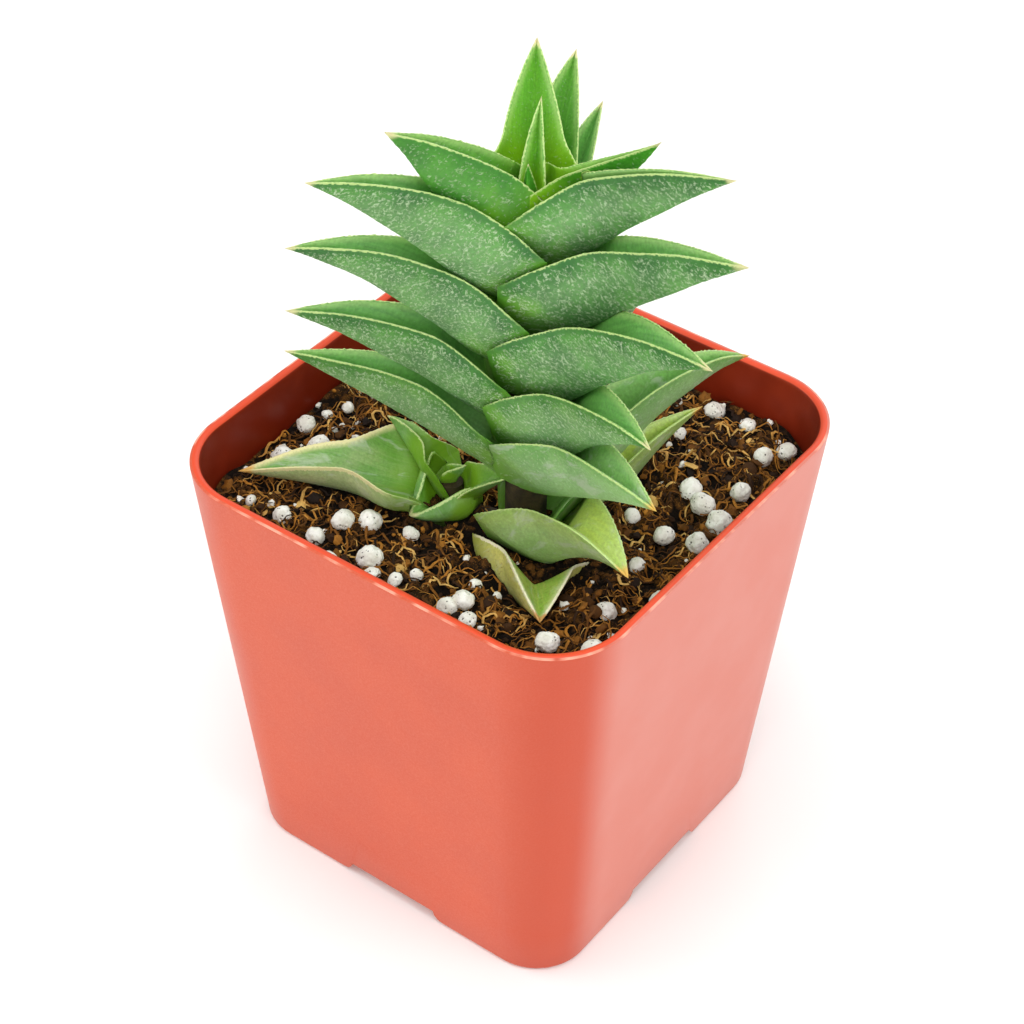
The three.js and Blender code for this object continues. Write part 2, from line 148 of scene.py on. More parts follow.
def node(tree, kind, **settings):
    made = tree.nodes.new(kind)
    for key, value in settings.items():
        setattr(made, key, value)
    return made


def feed(tree, socket, value):
    # a socket takes another node's output, or a plain value
    if isinstance(value, bpy.types.NodeSocket):
        tree.links.new(value, socket)
    else:
        socket.default_value = value


def sums(tree, operation, a, b=0.0, c=0.0, clamp=False):
    made = node(tree, "ShaderNodeMath", operation=operation, use_clamp=clamp)
    for socket, value in zip(made.inputs, (a, b, c)):
        feed(tree, socket, value)
    return made.outputs[0]


def times(tree, a, b, clamp=False):
    return sums(tree, "MULTIPLY", a, b, clamp=clamp)


def plus(tree, a, b):
    return sums(tree, "ADD", a, b)


def ramp(tree, value, low, high, toLow=0.0, toHigh=1.0, soft=True):
    made = node(tree, "ShaderNodeMapRange")
    made.interpolation_type = "SMOOTHSTEP" if soft else "LINEAR"
    for name, number in zip(("Value", "From Min", "From Max", "To Min", "To Max"),
                            (value, low, high, toLow, toHigh)):
        feed(tree, made.inputs[name], number)
    return made.outputs["Result"]


def mix(tree, share, a, b, mode="MIX"):
    made = node(tree, "ShaderNodeMix", data_type="RGBA", blend_type=mode)
    feed(tree, made.inputs[0], share)
    feed(tree, made.inputs[6], a)
    feed(tree, made.inputs[7], b)
    return made.outputs[2]


def scaled(tree, vector, scale, shift=(0, 0, 0)):
    made = node(tree, "ShaderNodeMapping")
    feed(tree, made.inputs["Vector"], vector)
    made.inputs["Scale"].default_value = scale
    made.inputs["Location"].default_value = shift
    return made.outputs["Vector"]


def cloud(tree, vector, scale, detail=2.0, rough=0.5, warp=0.0):
    made = node(tree, "ShaderNodeTexNoise")
    feed(tree, made.inputs["Vector"], vector)
    made.inputs["Scale"].default_value = scale
    made.inputs["Detail"].default_value = detail
    made.inputs["Roughness"].default_value = rough
    made.inputs["Distortion"].default_value = warp
    return made.outputs["Fac"]


def cells(tree, vector, scale):
    made = node(tree, "ShaderNodeTexVoronoi", feature="F1")
    feed(tree, made.inputs["Vector"], vector)
    made.inputs["Scale"].default_value = scale
    return made.outputs["Distance"], made.outputs["Color"]


def attribute(tree, name):
    return node(tree, "ShaderNodeAttribute", attribute_type="GEOMETRY", attribute_name=name)


def objectPlace(tree):
    # object coordinates in millimetres
    where = node(tree, "ShaderNodeTexCoord").outputs["Object"]
    return scaled(tree, where, (1 / mm, 1 / mm, 1 / mm))


def groupNamed(name, inputs, outputs):
    made = bpy.data.node_groups.new(name, "ShaderNodeTree")
    for label, kind, value in inputs:
        socket = made.interface.new_socket(label, in_out="INPUT", socket_type=kind)
        socket.default_value = value
    for label, kind in outputs:
        made.interface.new_socket(label, in_out="OUTPUT", socket_type=kind)
    start = made.nodes.new("NodeGroupInput")
    end = made.nodes.new("NodeGroupOutput")
    return made, start.outputs, end.inputs


def give(tree, made, values):
    # outputs or plain values for the sockets of a node or shader, by name
    for name, value in values.items():
        feed(tree, made.inputs[name], value)


def useGroup(tree, group, values):
    made = node(tree, "ShaderNodeGroup", node_tree=group)
    give(tree, made, values)
    return made.outputs


def mottled(tree, place, cloudSize, grainSize):
    sizes = {"Cloud Size": cloudSize, "Grain Size": grainSize}
    return useGroup(tree, mottleGroup, {"Place": place, **sizes})


def colour(red, green, blue):
    # a colour as seen, 0 to 255, for a shader socket
    def linear(level):
        share = level / 255
        return share / 12.92 if share <= 0.04045 else ((share + 0.055) / 1.055) ** 2.4
    return (linear(red), linear(green), linear(blue), 1.0)


def newMaterial(name):
    made = bpy.data.materials.new(name)
    made.use_nodes = True
    return made, made.node_tree, made.node_tree.nodes["Principled BSDF"]


def bumpFrom(tree, height, distance, strength=1.0):
    made = node(tree, "ShaderNodeBump")
    made.inputs["Strength"].default_value = strength
    made.inputs["Distance"].default_value = distance
    feed(tree, made.inputs["Height"], height)
    return made.outputs["Normal"]


floatIn, colourIn, vectorIn = "NodeSocketFloat", "NodeSocketColor", "NodeSocketVector"


def makeMottle():
    # slow cloudy change and a fine grain, from a place in millimetres
    group, given, out = groupNamed("mottle", [
        ("Place", vectorIn, (0, 0, 0)), ("Cloud Size", floatIn, 8.0), ("Grain Size", floatIn, 0.4),
    ], [("Cloud", floatIn), ("Grain", floatIn)])
    for name, detail, rough in (("Cloud", 3.0, 0.55), ("Grain", 2.0, 0.6)):
        shrunk = node(group, "ShaderNodeVectorMath", operation="DIVIDE")
        feed(group, shrunk.inputs[0], given["Place"])
        feed(group, shrunk.inputs[1], given[name + " Size"])
        feed(group, out[name], cloud(group, shrunk.outputs[0], 1.0, detail, rough))
    return group


def makePapillae():
    # short raised pale squiggles that run mostly across the leaf, and round dots between them; their pale is
    # partly their own colour and partly a painted highlight
    group, given, out = groupNamed("papillae", [
        ("Place", vectorIn, (0, 0, 0)), ("Cover", floatIn, 0.5),
    ], [("Mask", floatIn)])
    place = given["Place"]
    families = []
    for scale, shift in (((1.25, 2.2, 1.0), (0, 0, 0)), ((1.5, 2.6, 1.0), (31, 17, 5))):
        squiggle = cloud(group, scaled(group, place, scale, shift), 1.0, 0.5, 0.5, 1.1)
        centred = sums(group, "ABSOLUTE", sums(group, "SUBTRACT", squiggle, 0.5))
        families.append(ramp(group, centred, 0.014, 0.05, 1.0, 0.0))
    ridge = sums(group, "MAXIMUM", *families)
    broken = cloud(group, scaled(group, place, (2.3, 2.9, 1.0), (4, 9, 2)), 1.0, 0.0, 0.6)
    threshold = sums(group, "SUBTRACT", 0.79, times(group, given["Cover"], 0.36))
    shown = ramp(group, sums(group, "SUBTRACT", broken, threshold), -0.02, 0.08)
    distance, tint = cells(group, place, 1.7)
    dot = ramp(group, distance, 0.09, 0.18, 1.0, 0.0)
    picked = node(group, "ShaderNodeSeparateColor")
    feed(group, picked.inputs[0], tint)
    some = ramp(group, picked.outputs[0], 0.55, 0.65)
    dots = times(group, times(group, dot, some), 0.8)
    feed(group, out["Mask"], sums(group, "MAXIMUM", times(group, ridge, shown), dots))
    return group


def makeLeafSkin(papillae):
    # the whole leaf by its own places: outer face, inner face, pale margin, base and tip
    group, given, out = groupNamed("leaf skin", [
        ("Outer", colourIn, colour(84, 150, 60)),
        ("Outer Dark", colourIn, colour(38, 104, 34)),
        ("Base", colourIn, colour(116, 176, 34)),
        ("Base Reach", floatIn, 0.2),
        ("Inner", colourIn, colour(104, 168, 76)),
        ("Margin", colourIn, colour(196, 220, 140)),
        ("Margin Width", floatIn, 0.2),
        ("Painted Inner Reflection", floatIn, 0.3),
        ("Inner Papillae", floatIn, 0.15),
        ("Tip", colourIn, colour(210, 205, 150)),
        ("Tip Start", floatIn, 0.93),
        ("Papillae", floatIn, 0.6),
        ("Bloom", floatIn, 0.3),
        ("Smears", floatIn, 0.0),
        ("Specks", floatIn, 0.0),
    ], [("Color", colourIn), ("Roughness", floatIn), ("Height", floatIn)])
    place = attribute(group, "leafPlace").outputs["Vector"]
    marks = node(group, "ShaderNodeSeparateXYZ")
    feed(group, marks.inputs[0], attribute(group, "leafMark").outputs["Vector"])
    fromEdge, along, inner = marks.outputs
    cloudy = mottled(group, place, 5.0, 0.35)
    # outer face: darker and lighter green in clouds, deep green just under the margin
    patch = ramp(group, cloudy["Cloud"], 0.3, 0.7)
    outer = mix(group, patch, given["Outer Dark"], given["Outer"])
    nearEdge = ramp(group, fromEdge, 0.4, 1.5, 1.0, 0.0)
    outer = mix(group, times(group, nearEdge, 0.6), outer, given["Outer Dark"])
    grainy = ramp(group, cloudy["Grain"], 0.25, 0.75, 0.82, 1.18, False)
    grainColour = node(group, "ShaderNodeCombineColor")
    for socket in grainColour.inputs:
        feed(group, socket, grainy)
    # a greyish bloom that lies away from the margins
    bloomAt = times(group, ramp(group, fromEdge, 0.8, 4.0), given["Bloom"])
    outer = mix(group, bloomAt, outer, colour(158, 196, 140))
    # inner face: smoother and lighter, with faint lines along it
    veins = cloud(group, scaled(group, place, (2.4, 0.12, 1)), 1.0, 2.0, 0.5)
    lines = ramp(group, veins, 0.35, 0.7, 0.0, 0.35)
    lined = mix(group, lines, given["Inner"], given["Outer Dark"])
    lined = mix(group, ramp(group, cloudy["Cloud"], 0.4, 0.75, 0.0, 0.4), lined, given["Outer"])
    # near the margin the inner face is painted pale, a painted reflection of the bright surroundings
    reflectionBand = times(group, ramp(group, fromEdge, 0.35, 1.3, 1.0, 0.0), given["Painted Inner Reflection"])
    lined = mix(group, reflectionBand, lined, given["Margin"])
    face = mix(group, ramp(group, inner, 0.3, 0.7), outer, lined)
    face = mix(group, 1.0, face, grainColour.outputs[0], "MULTIPLY")
    # yellow-green base of the leaf
    baseEnd = plus(group, given["Base Reach"], ramp(group, cloudy["Cloud"], 0.3, 0.7, -0.06, 0.06))
    atBase = ramp(group, sums(group, "SUBTRACT", along, baseEnd), -0.2, 0.1, 1.0, 0.0)
    face = mix(group, times(group, atBase, 0.85), face, given["Base"])
    # papillae, fewer at the margin and on the inner face
    cover = times(group, given["Papillae"], ramp(group, fromEdge, 0.35, 1.1, 0.1, 1.0))
    cover = times(group, cover, ramp(group, inner, 0.3, 0.7, 1.0, given["Inner Papillae"]))
    raised = useGroup(group, papillae, {"Place": place, "Cover": cover})
    paleShare = times(group, raised["Mask"], times(group, cover, 1.15, clamp=True), clamp=True)
    # the papillae's pale is partly their own colour and partly a painted highlight
    face = mix(group, times(group, paleShare, 0.62), face, colour(206, 228, 186))
    # chalky smears and brown specks of old leaves
    smearNoise = cloud(group, scaled(group, place, (0.5, 0.22, 1), (7, 3, 1)), 1.0, 5.0, 0.65, 0.6)
    smear = times(group, ramp(group, smearNoise, 0.52, 0.68), given["Smears"])
    face = mix(group, smear, face, colour(196, 204, 186))
    speckNoise = cloud(group, scaled(group, place, (2.4, 1.6, 1), (2, 5, 8)), 1.0, 3.0, 0.7, 0.3)
    speck = times(group, ramp(group, speckNoise, 0.6, 0.66), given["Specks"])
    face = mix(group, speck, face, colour(120, 84, 36))
    # margin and tip
    ragged = ramp(group, cloud(group, place, 3.4, 1.0), 0.3, 0.7, -0.1, 0.1)
    pastMargin = sums(group, "SUBTRACT", plus(group, fromEdge, ragged), given["Margin Width"])
    edgeLine = ramp(group, pastMargin, -0.12, 0.06, 1.0, 0.0)
    edgeShare = ramp(group, along, 0.0, 0.16, 0.0, 0.85)
    face = mix(group, times(group, edgeLine, edgeShare), face, given["Margin"])
    uneven = plus(group, along, ramp(group, cloudy["Cloud"], 0.3, 0.7, -0.02, 0.02))
    tipShare = ramp(group, uneven, given["Tip Start"], plus(group, given["Tip Start"], 0.05))
    face = mix(group, tipShare, face, given["Tip"])
    feed(group, out["Color"], face)
    feed(group, out["Roughness"], plus(group, 0.42, times(group, paleShare, 0.25)))
    fineHeight = times(group, cloudy["Grain"], 0.35)
    feed(group, out["Height"], plus(group, times(group, paleShare, 0.9), fineHeight))
    return group


# what each kind of leaf changes in the skin; colours are as seen, 0 to 255
leafFinishes = {
    "leaf crown": {
        "Outer": (84, 160, 46), "Outer Dark": (56, 138, 26), "Inner": (108, 174, 48),
        "Base": (128, 184, 12), "Base Reach": 0.45,
        "Papillae": 0.55, "Inner Papillae": 0.7, "Bloom": 0.1,
    },
    "leaf young": {
        "Outer": (68, 143, 32), "Outer Dark": (42, 118, 20), "Inner": (100, 166, 56),
        "Base": (116, 178, 18), "Base Reach": 0.3,
        "Papillae": 0.6, "Inner Papillae": 0.6, "Bloom": 0.06,
    },
    "leaf grown": {"Papillae": 0.92, "Bloom": 0.22, "Base Reach": 0.02},
    # a copy of leaf grown, painted lighter to make up for the shade lower in the column
    "leaf wide": {
        "Outer": (108, 162, 76), "Outer Dark": (64, 124, 50), "Base Reach": 0.02,
        "Papillae": 0.85, "Bloom": 0.34,
    },
    # older, paler leaves low in the pot, also painted lighter to make up for the shade they get there
    "leaf low": {
        "Outer": (142, 188, 114), "Outer Dark": (108, 162, 84), "Inner": (118, 172, 84),
        "Base Reach": 0.02, "Tip": (222, 176, 84), "Tip Start": 0.92,
        "Papillae": 0.6, "Bloom": 0.45, "Smears": 0.5, "Specks": 0.12,
    },
    # paler still, and painted lighter still for the deeper shade lower down
    "leaf lower": {
        "Outer": (180, 204, 122), "Outer Dark": (148, 182, 92), "Inner": (178, 200, 88),
        "Base Reach": 0.02, "Tip": (222, 176, 84), "Tip Start": 0.92,
        "Papillae": 0.35, "Bloom": 0.4, "Smears": 0.5, "Specks": 0.15,
    },
    "leaf old": {
        "Outer": (214, 208, 118), "Outer Dark": (178, 178, 88), "Inner": (124, 164, 56),
        "Base": (140, 150, 60), "Tip": (188, 140, 80), "Tip Start": 0.9,
        "Margin": (236, 230, 200), "Margin Width": 0.36,
        "Papillae": 0.2, "Bloom": 0.15, "Smears": 0.35, "Specks": 0.55,
    },
    "leaf offset": {
        "Outer": (128, 172, 96), "Outer Dark": (96, 148, 60), "Inner": (104, 158, 46),
        "Base": (116, 164, 20), "Base Reach": 0.5, "Tip": (222, 222, 160), "Tip Start": 0.9,
        "Margin": (206, 226, 150), "Painted Inner Reflection": 0.15,
        "Papillae": 0.15, "Bloom": 0.2, "Smears": 0.15,
    },
    "leaf offset long": {
        "Outer": (192, 202, 148), "Outer Dark": (160, 184, 118), "Inner": (100, 154, 58),
        "Base": (112, 160, 24), "Base Reach": 0.12, "Tip": (222, 176, 96), "Tip Start": 0.88,
        "Margin": (226, 216, 160), "Margin Width": 0.5, "Painted Inner Reflection": 0.85,
        "Papillae": 0.3, "Bloom": 0.3, "Smears": 0.45, "Specks": 0.15,
    },
}


def leafMaterials():
    skin = makeLeafSkin(makePapillae())
    made = {}
    for name, values in leafFinishes.items():
        material, tree, shader = newMaterial(name)
        result = useGroup(tree, skin, {key: colour(*value) if isinstance(value, tuple) else value
                                       for key, value in values.items()})
        give(tree, shader, {
            "Base Color": result["Color"], "Roughness": result["Roughness"],
            "Normal": bumpFrom(tree, result["Height"], 0.09 * mm, 0.8),
            "Specular IOR Level": 0.45, "Subsurface Weight": 0.12,
            "Subsurface Radius": (0.5, 1.0, 0.25), "Subsurface Scale": 1.2 * mm,
        })
        made[name] = material
    return made


def floorMaterial():
    material, tree, shader = newMaterial("pale floor")
    grain = cloud(tree, objectPlace(tree), 0.02, 2.0)
    tone = mix(tree, ramp(tree, grain, 0.2, 0.8), colour(248, 248, 247), colour(252, 252, 251))
    give(tree, shader, {"Base Color": tone, "Roughness": 0.9, "Specular IOR Level": 0.1})
    return material


plastic = {
    # corner is a painted shade and pale a painted sheen on the pot's sides
    "body": (208, 89, 58), "bodyDark": (202, 82, 51), "corner": (190, 72, 44),
    # rimLine is the pale flash at the rim's edge, partly a painted highlight
    "pale": (212, 124, 108), "grain": (255, 190, 170), "rim": (222, 78, 46), "rimLine": (255, 186, 160),
    # inner and innerDark are painted shade inside the pot, with some dust
    "inner": (144, 44, 18), "innerDark": (120, 32, 11), "rough": 0.4,
}


def plasticMaterial():
    material, tree, shader = newMaterial("coral plastic")
    tone = {key: colour(*value) for key, value in plastic.items() if key != "rough"}
    where = objectPlace(tree)
    look = mottled(tree, where, 14.0, 0.25)
    body = mix(tree, ramp(tree, look["Cloud"], 0.3, 0.7), tone["bodyDark"], tone["body"])
    body = mix(tree, ramp(tree, look["Grain"], 0.3, 0.8, 0.0, 0.08), body, tone["grain"])
    # the sides towards +x and +y are painted paler, a painted sheen, and the corner beside them deeper, a
    # painted shade
    axes = node(tree, "ShaderNodeSeparateXYZ")
    feed(tree, axes.inputs[0], where)
    side = plus(tree, axes.outputs[0], axes.outputs[1])
    body = mix(tree, ramp(tree, side, -16.0, -3.0, 0.0, 0.8), body, tone["corner"])
    body = mix(tree, ramp(tree, side, 1.0, 9.0), body, tone["pale"])
    # the rim is a deeper orange with a thin pale broken line at its edge, a pale flash that is partly a
    # painted highlight; the inner face is dark red, painted shade with some dust
    mark = attribute(tree, "potMark").outputs["Fac"]
    waves = ramp(tree, cloud(tree, where, 0.35, 2.0), 0.4, 0.7, 0.0, 0.7)
    line = times(tree, ramp(tree, mark, 0.5, 0.9), ramp(tree, mark, 1.1, 1.5, 1.0, 0.0))
    body = mix(tree, ramp(tree, mark, 1.2, 1.7), body, tone["rim"])
    body = mix(tree, times(tree, line, waves), body, tone["rimLine"])
    # the inner face's dark red is painted shade, with some dust
    innerShadeAndDust = mix(tree, ramp(tree, look["Cloud"], 0.35, 0.65), tone["innerDark"], tone["inner"])
    body = mix(tree, ramp(tree, mark, 2.3, 2.9), body, innerShadeAndDust)
    rough = plastic["rough"]
    give(tree, shader, {
        "Base Color": body, "Specular IOR Level": 0.3,
        "Roughness": ramp(tree, look["Cloud"], 0.3, 0.7, rough - 0.04, rough + 0.06),
        "Normal": bumpFrom(tree, look["Grain"], 0.02 * mm, 0.5),
    })
    return material


def soilMaterial():
    # brown and tan on the clods, and painted near black in the hollows as painted shade
    material, tree, shader = newMaterial("potting soil")
    look = mottled(tree, objectPlace(tree), 1.6, 0.22)
    high = attribute(tree, "soilRise").outputs["Fac"]
    tone = mix(tree, ramp(tree, look["Cloud"], 0.35, 0.65), colour(38, 24, 9), colour(92, 58, 22))
    tone = mix(tree, ramp(tree, look["Grain"], 0.52, 0.72, 0.0, 0.8), tone, colour(148, 98, 40))
    # painted shade: near black where the soil lies low among the clods
    tone = mix(tree, ramp(tree, high, 0.3, 0.8, 0.97, 0.0), tone, colour(16, 10, 6))
    give(tree, shader, {"Base Color": tone, "Roughness": 0.9, "Specular IOR Level": 0.15,
                        "Normal": bumpFrom(tree, look["Grain"], 0.3 * mm)})
    return material


# tones of a strand, from near black to straw, by its "strandTone"
strandTones = [(0.0, (22, 13, 7)), (0.3, (58, 34, 11)), (0.55, (126, 78, 22)),
               (0.78, (190, 126, 46)), (1.0, (228, 182, 104))]


def coirMaterial():
    material, tree, shader = newMaterial("coir fibre")
    colours = node(tree, "ShaderNodeValToRGB")
    feed(tree, colours.inputs[0], attribute(tree, "strandTone").outputs["Fac"])
    bar = colours.color_ramp
    bar.elements[0].color = colour(*strandTones[0][1])
    bar.elements[-1].color = colour(*strandTones[-1][1])
    for place, tint in strandTones[1:-1]:
        bar.elements.new(place).color = colour(*tint)
    look = mottled(tree, objectPlace(tree), 1.0, 0.15)
    dusk = ramp(tree, look["Cloud"], 0.3, 0.7, 0.0, 0.4)
    shade = mix(tree, dusk, colours.outputs[0], colour(40, 22, 12))
    give(tree, shader, {"Base Color": shade, "Roughness": 0.75, "Specular IOR Level": 0.2,
                        "Normal": bumpFrom(tree, look["Grain"], 0.06 * mm)})
    return material


def perliteMaterial():
    # off-white glassy foam, with painted shade in its sunk pores
    material, tree, shader = newMaterial("perlite")
    look = mottled(tree, objectPlace(tree), 1.6, 0.22)
    pit = attribute(tree, "pit").outputs["Fac"]
    cloudy = ramp(tree, look["Cloud"], 0.35, 0.7)
    body = mix(tree, cloudy, colour(228, 224, 212), colour(250, 248, 242))
    body = mix(tree, ramp(tree, look["Grain"], 0.6, 0.74, 0.0, 0.45), body, colour(160, 150, 132))
    # painted shade in the pores
    body = mix(tree, ramp(tree, pit, 0.25, 0.85, 0.0, 0.88), body, colour(58, 50, 38))
    give(tree, shader, {"Base Color": body, "Roughness": 0.7,
                        "Normal": bumpFrom(tree, look["Grain"], 0.08 * mm)})
    return material


def stemMaterial():
    material, tree, shader = newMaterial("woody stem")
    look = mottled(tree, objectPlace(tree), 2.0, 0.4)
    # dark brown, partly the stem's own colour and partly painted shade where it shows between the leaves
    tone = mix(tree, ramp(tree, look["Cloud"], 0.3, 0.7), colour(34, 26, 14), colour(70, 56, 30))
    give(tree, shader, {"Base Color": tone, "Roughness": 0.8,
                        "Normal": bumpFrom(tree, look["Grain"], 0.1 * mm)})
    return material


# ---- mesh helpers

samePoint = 1e-8           # metres between points that a weld joins


def editMode(on):
    bpy.ops.object.mode_set(mode="EDIT" if on else "OBJECT")


def selectOpenEdges():
    bpy.ops.mesh.select_mode(type="EDGE")
    bpy.ops.mesh.select_all(action="DESELECT")
    bpy.ops.mesh.select_non_manifold(
        extend=False, use_wire=False, use_boundary=True, use_multi_face=False,
        use_non_contiguous=False, use_verts=False)


def faceOutwards():
    # in edit mode, which it leaves
    bpy.ops.mesh.select_all(action="SELECT")
    bpy.ops.mesh.normals_make_consistent(inside=False)
    editMode(False)


def named(name):
    made = bpy.context.object
    made.name = name
    made.data.name = name
    return made


def pointsOf(obj):
    flat = np.zeros(len(obj.data.vertices) * 3, np.float32)
    obj.data.vertices.foreach_get("co", flat)
    return flat.reshape(-1, 3)


def sheetOf(name, columns, rows):
    # a flat grid of that many points, with the row and column of each
    deselect()
    bpy.ops.mesh.primitive_grid_add(x_subdivisions=columns - 1, y_subdivisions=rows - 1, size=2)
    sheet = named(name)
    flat = pointsOf(sheet)
    column = np.rint((flat[:, 0] + 1) / 2 * (columns - 1)).astype(int)
    row = np.rint((flat[:, 1] + 1) / 2 * (rows - 1)).astype(int)
    return sheet, row, column


def tubeOf(name, points, attributes=None):
    # rings of points, first and last of each ring alike, as one closed body
    rows, columns = points.shape[:2]
    body, row, column = sheetOf(name, columns, rows)
    layPoints(body, toFrame(points[row, column]))
    for label, values in (attributes or {}).items():
        pointAttribute(body, label, values[row, column])
    closeTube(body)
    return body


def layPoints(sheet, points):
    sheet.data.vertices.foreach_set("co", np.asarray(points, np.float32).ravel())
    sheet.data.update()


def pointAttribute(obj, name, values, kind="FLOAT_VECTOR"):
    made = obj.data.attributes.new(name, kind, "POINT")
    key = "vector" if kind == "FLOAT_VECTOR" else "value"
    made.data.foreach_set(key, np.asarray(values, np.float32).ravel())


def closeTube(obj):
    pick(obj)
    editMode(True)
    bpy.ops.mesh.select_all(action="SELECT")
    bpy.ops.mesh.remove_doubles(threshold=samePoint)
    selectOpenEdges()
    bpy.ops.mesh.fill(use_beauty=True)
    faceOutwards()


def cutAway(obj, cutter):
    pick(obj)
    cut = obj.modifiers.new("room", "BOOLEAN")
    cut.operation = "DIFFERENCE"
    cut.solver = "MANIFOLD"
    cut.object = cutter
    bpy.ops.object.modifier_apply(modifier=cut.name)
    # a cut that could not be made leaves no modifier behind
    obj.modifiers.clear()


def boxOf(obj):
    points = pointsOf(obj)
    return points.min(0), points.max(0)


def boxesTouch(a, b):
    lowA, highA = boxOf(a)
    lowB, highB = boxOf(b)
    return bool(np.all(lowA < highB) and np.all(lowB < highA))


def keepLargest(obj):
    # what a cut leaves beside the main body goes
    shape = bmesh.new()
    shape.from_mesh(obj.data)
    unseen = set(shape.verts)
    bodies = []
    while unseen:
        start = unseen.pop()
        body, front = [start], [start]
        while front:
            point = front.pop()
            for edge in point.link_edges:
                other = edge.other_vert(point)
                if other in unseen:
                    unseen.remove(other)
                    body.append(other)
                    front.append(other)
        bodies.append(body)
    bodies.sort(key=len, reverse=True)
    for body in bodies[1:]:
        bmesh.ops.delete(shape, geom=body, context="VERTS")
    shape.to_mesh(obj.data)
    shape.free()


def addRelief(obj, label, scale, strength, depth=2):
    # the skin goes in and out by a cloud of that grain size, both in millimetres
    texture = bpy.data.textures.get(label) or bpy.data.textures.new(label, "CLOUDS")
    texture.noise_scale = scale * mm
    texture.noise_depth = depth
    pick(obj)
    relief = obj.modifiers.new(label, "DISPLACE")
    relief.texture = texture
    relief.texture_coords = "LOCAL"
    relief.strength = strength * mm
    relief.mid_level = 0.5
    bpy.ops.object.modifier_apply(modifier=relief.name)


def dress(obj, material, nodeNames=()):
    obj.data.materials.clear()
    obj.data.materials.append(material)
    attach(obj, "root")
    if nodeNames:
        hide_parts(*nodeNames)


# degrees between two faces from which their edge stays sharp
sharpFrom = {"pot": 35, "stem": 50, "leaf": 48, "soil": 60, "grain": 80, "fibre": 80, "crumb": 40}


def smoothShade(obj, kind):
    pick(obj)
    bpy.ops.object.shade_smooth_by_angle(angle=math.radians(sharpFrom[kind]))


# ---- pot

pot = {
    "height": 64, "topHalf": 32, "footHalf": 26.1, "topCorner": 11.1, "footCorner": 7.6,
    "wall": 1.3, "floorTop": 4.2,
    "cornerSteps": 20, "sideSteps": 14,
    "footGapHalf": 7, "footEndRound": 3.2, "footHeight": 2.2,
    "leastCorner": 0.6, "drainRadius": 3, "drainOffset": 15, "rimFrom": 63.7, "rimLine": 0.3, "soften": 0.22,
}
# the wall's profile, from the underside up the outer face and down inside: inset and height
potProfile = [
    (3.0, 0), (0.8, 0), (0.42, 0.08), (0.15, 0.34), (0, 0.8),
    (0, 8), (0, 16), (0, 24), (0, 32), (0, 40), (0, 48), (0, 56), (0, 61), (0, 63.3),
    (0.0, 63.62), (0.02, 63.8), (0.1, 63.88), (0.2, 63.86), (0.28, 63.88), (0.42, 63.97),
    (0.65, 64), (0.9, 63.97), (1.12, 63.86), (1.25, 63.64), (1.3, 63.3),
    (1.3, 60), (1.3, 50), (1.3, 40), (1.3, 30), (1.3, 20), (1.3, 10), (1.3, 6),
    (1.5, 4.9), (2.0, 4.4), (2.8, 4.2), (8, 4.2),
]


def potMark(inset, z):
    # 0 on the outer face, 1 on the rim's edge line, 2 on its top, 3 on the inner face
    if z > pot["rimFrom"]:
        return 1 if inset < pot["rimLine"] else 2
    return 3 if inset >= pot["wall"] - 0.06 and z > pot["floorTop"] - 0.1 else 0


def potSection(z):
    share = z / pot["height"]
    half = blend(pot["footHalf"], pot["topHalf"], share)
    return half, blend(pot["footCorner"], pot["topCorner"], share)


def roundedSquare(half, corner):
    # counter-clockwise outline of a square with round corners
    cornerSteps, sideSteps = pot["cornerSteps"], pot["sideSteps"]
    points = []
    for quarter in range(4):
        start = quarter * math.pi / 2
        cx = math.sqrt(2) * (half - corner) * math.cos(start + math.pi / 4)
        cy = math.sqrt(2) * (half - corner) * math.sin(start + math.pi / 4)
        arc = [(cx + corner * math.cos(start + step / cornerSteps * math.pi / 2),
                cy + corner * math.sin(start + step / cornerSteps * math.pi / 2))
               for step in range(cornerSteps + 1)]
        points += arc
        nx, ny = math.cos(start + math.pi / 2), math.sin(start + math.pi / 2)
        endX, endY = arc[-1]
        length = 2 * (half - corner)
        for step in range(1, sideSteps):
            share = step / sideSteps * length
            points.append((endX - ny * share, endY + nx * share))
    return np.array(points)


def potRing(inset, z):
    half, corner = potSection(z)
    ring = roundedSquare(half - inset, max(corner - inset, pot["leastCorner"]))
    return np.column_stack([ring, np.full(len(ring), z)])


def footGapCutter(alongX):
    # the arched gap between two corner feet, right across the underside
    gap, curve, high = pot["footGapHalf"], pot["footEndRound"], pot["footHeight"]
    reach, steps = 40, 10
    outline = [(-gap - curve - 1, -2), (gap + curve + 1, -2)]
    for step in range(steps + 1):
        angle = step / steps * math.pi / 2
        z = high * (1 - math.cos(angle)) if step else -0.02
        outline.append((gap + curve * (1 - math.sin(angle)), z))
    outline += [(-x, z) for x, z in outline[:1:-1]]
    deselect()
    bpy.ops.mesh.primitive_circle_add(vertices=len(outline), radius=1)
    cutter = bpy.context.object
    turn = (lambda x, y: (-y, x)) if alongX else (lambda x, y: (x, y))
    layPoints(cutter, toFrame([(*turn(x, -reach), z) for x, z in outline]))
    pick(cutter)
    editMode(True)
    bpy.ops.mesh.select_all(action="SELECT")
    bpy.ops.mesh.edge_face_add()
    sweep = turn(0, 2 * reach * mm)
    bpy.ops.mesh.extrude_region_move(TRANSFORM_OT_translate={"value": (*sweep, 0)})
    faceOutwards()
    return cutter


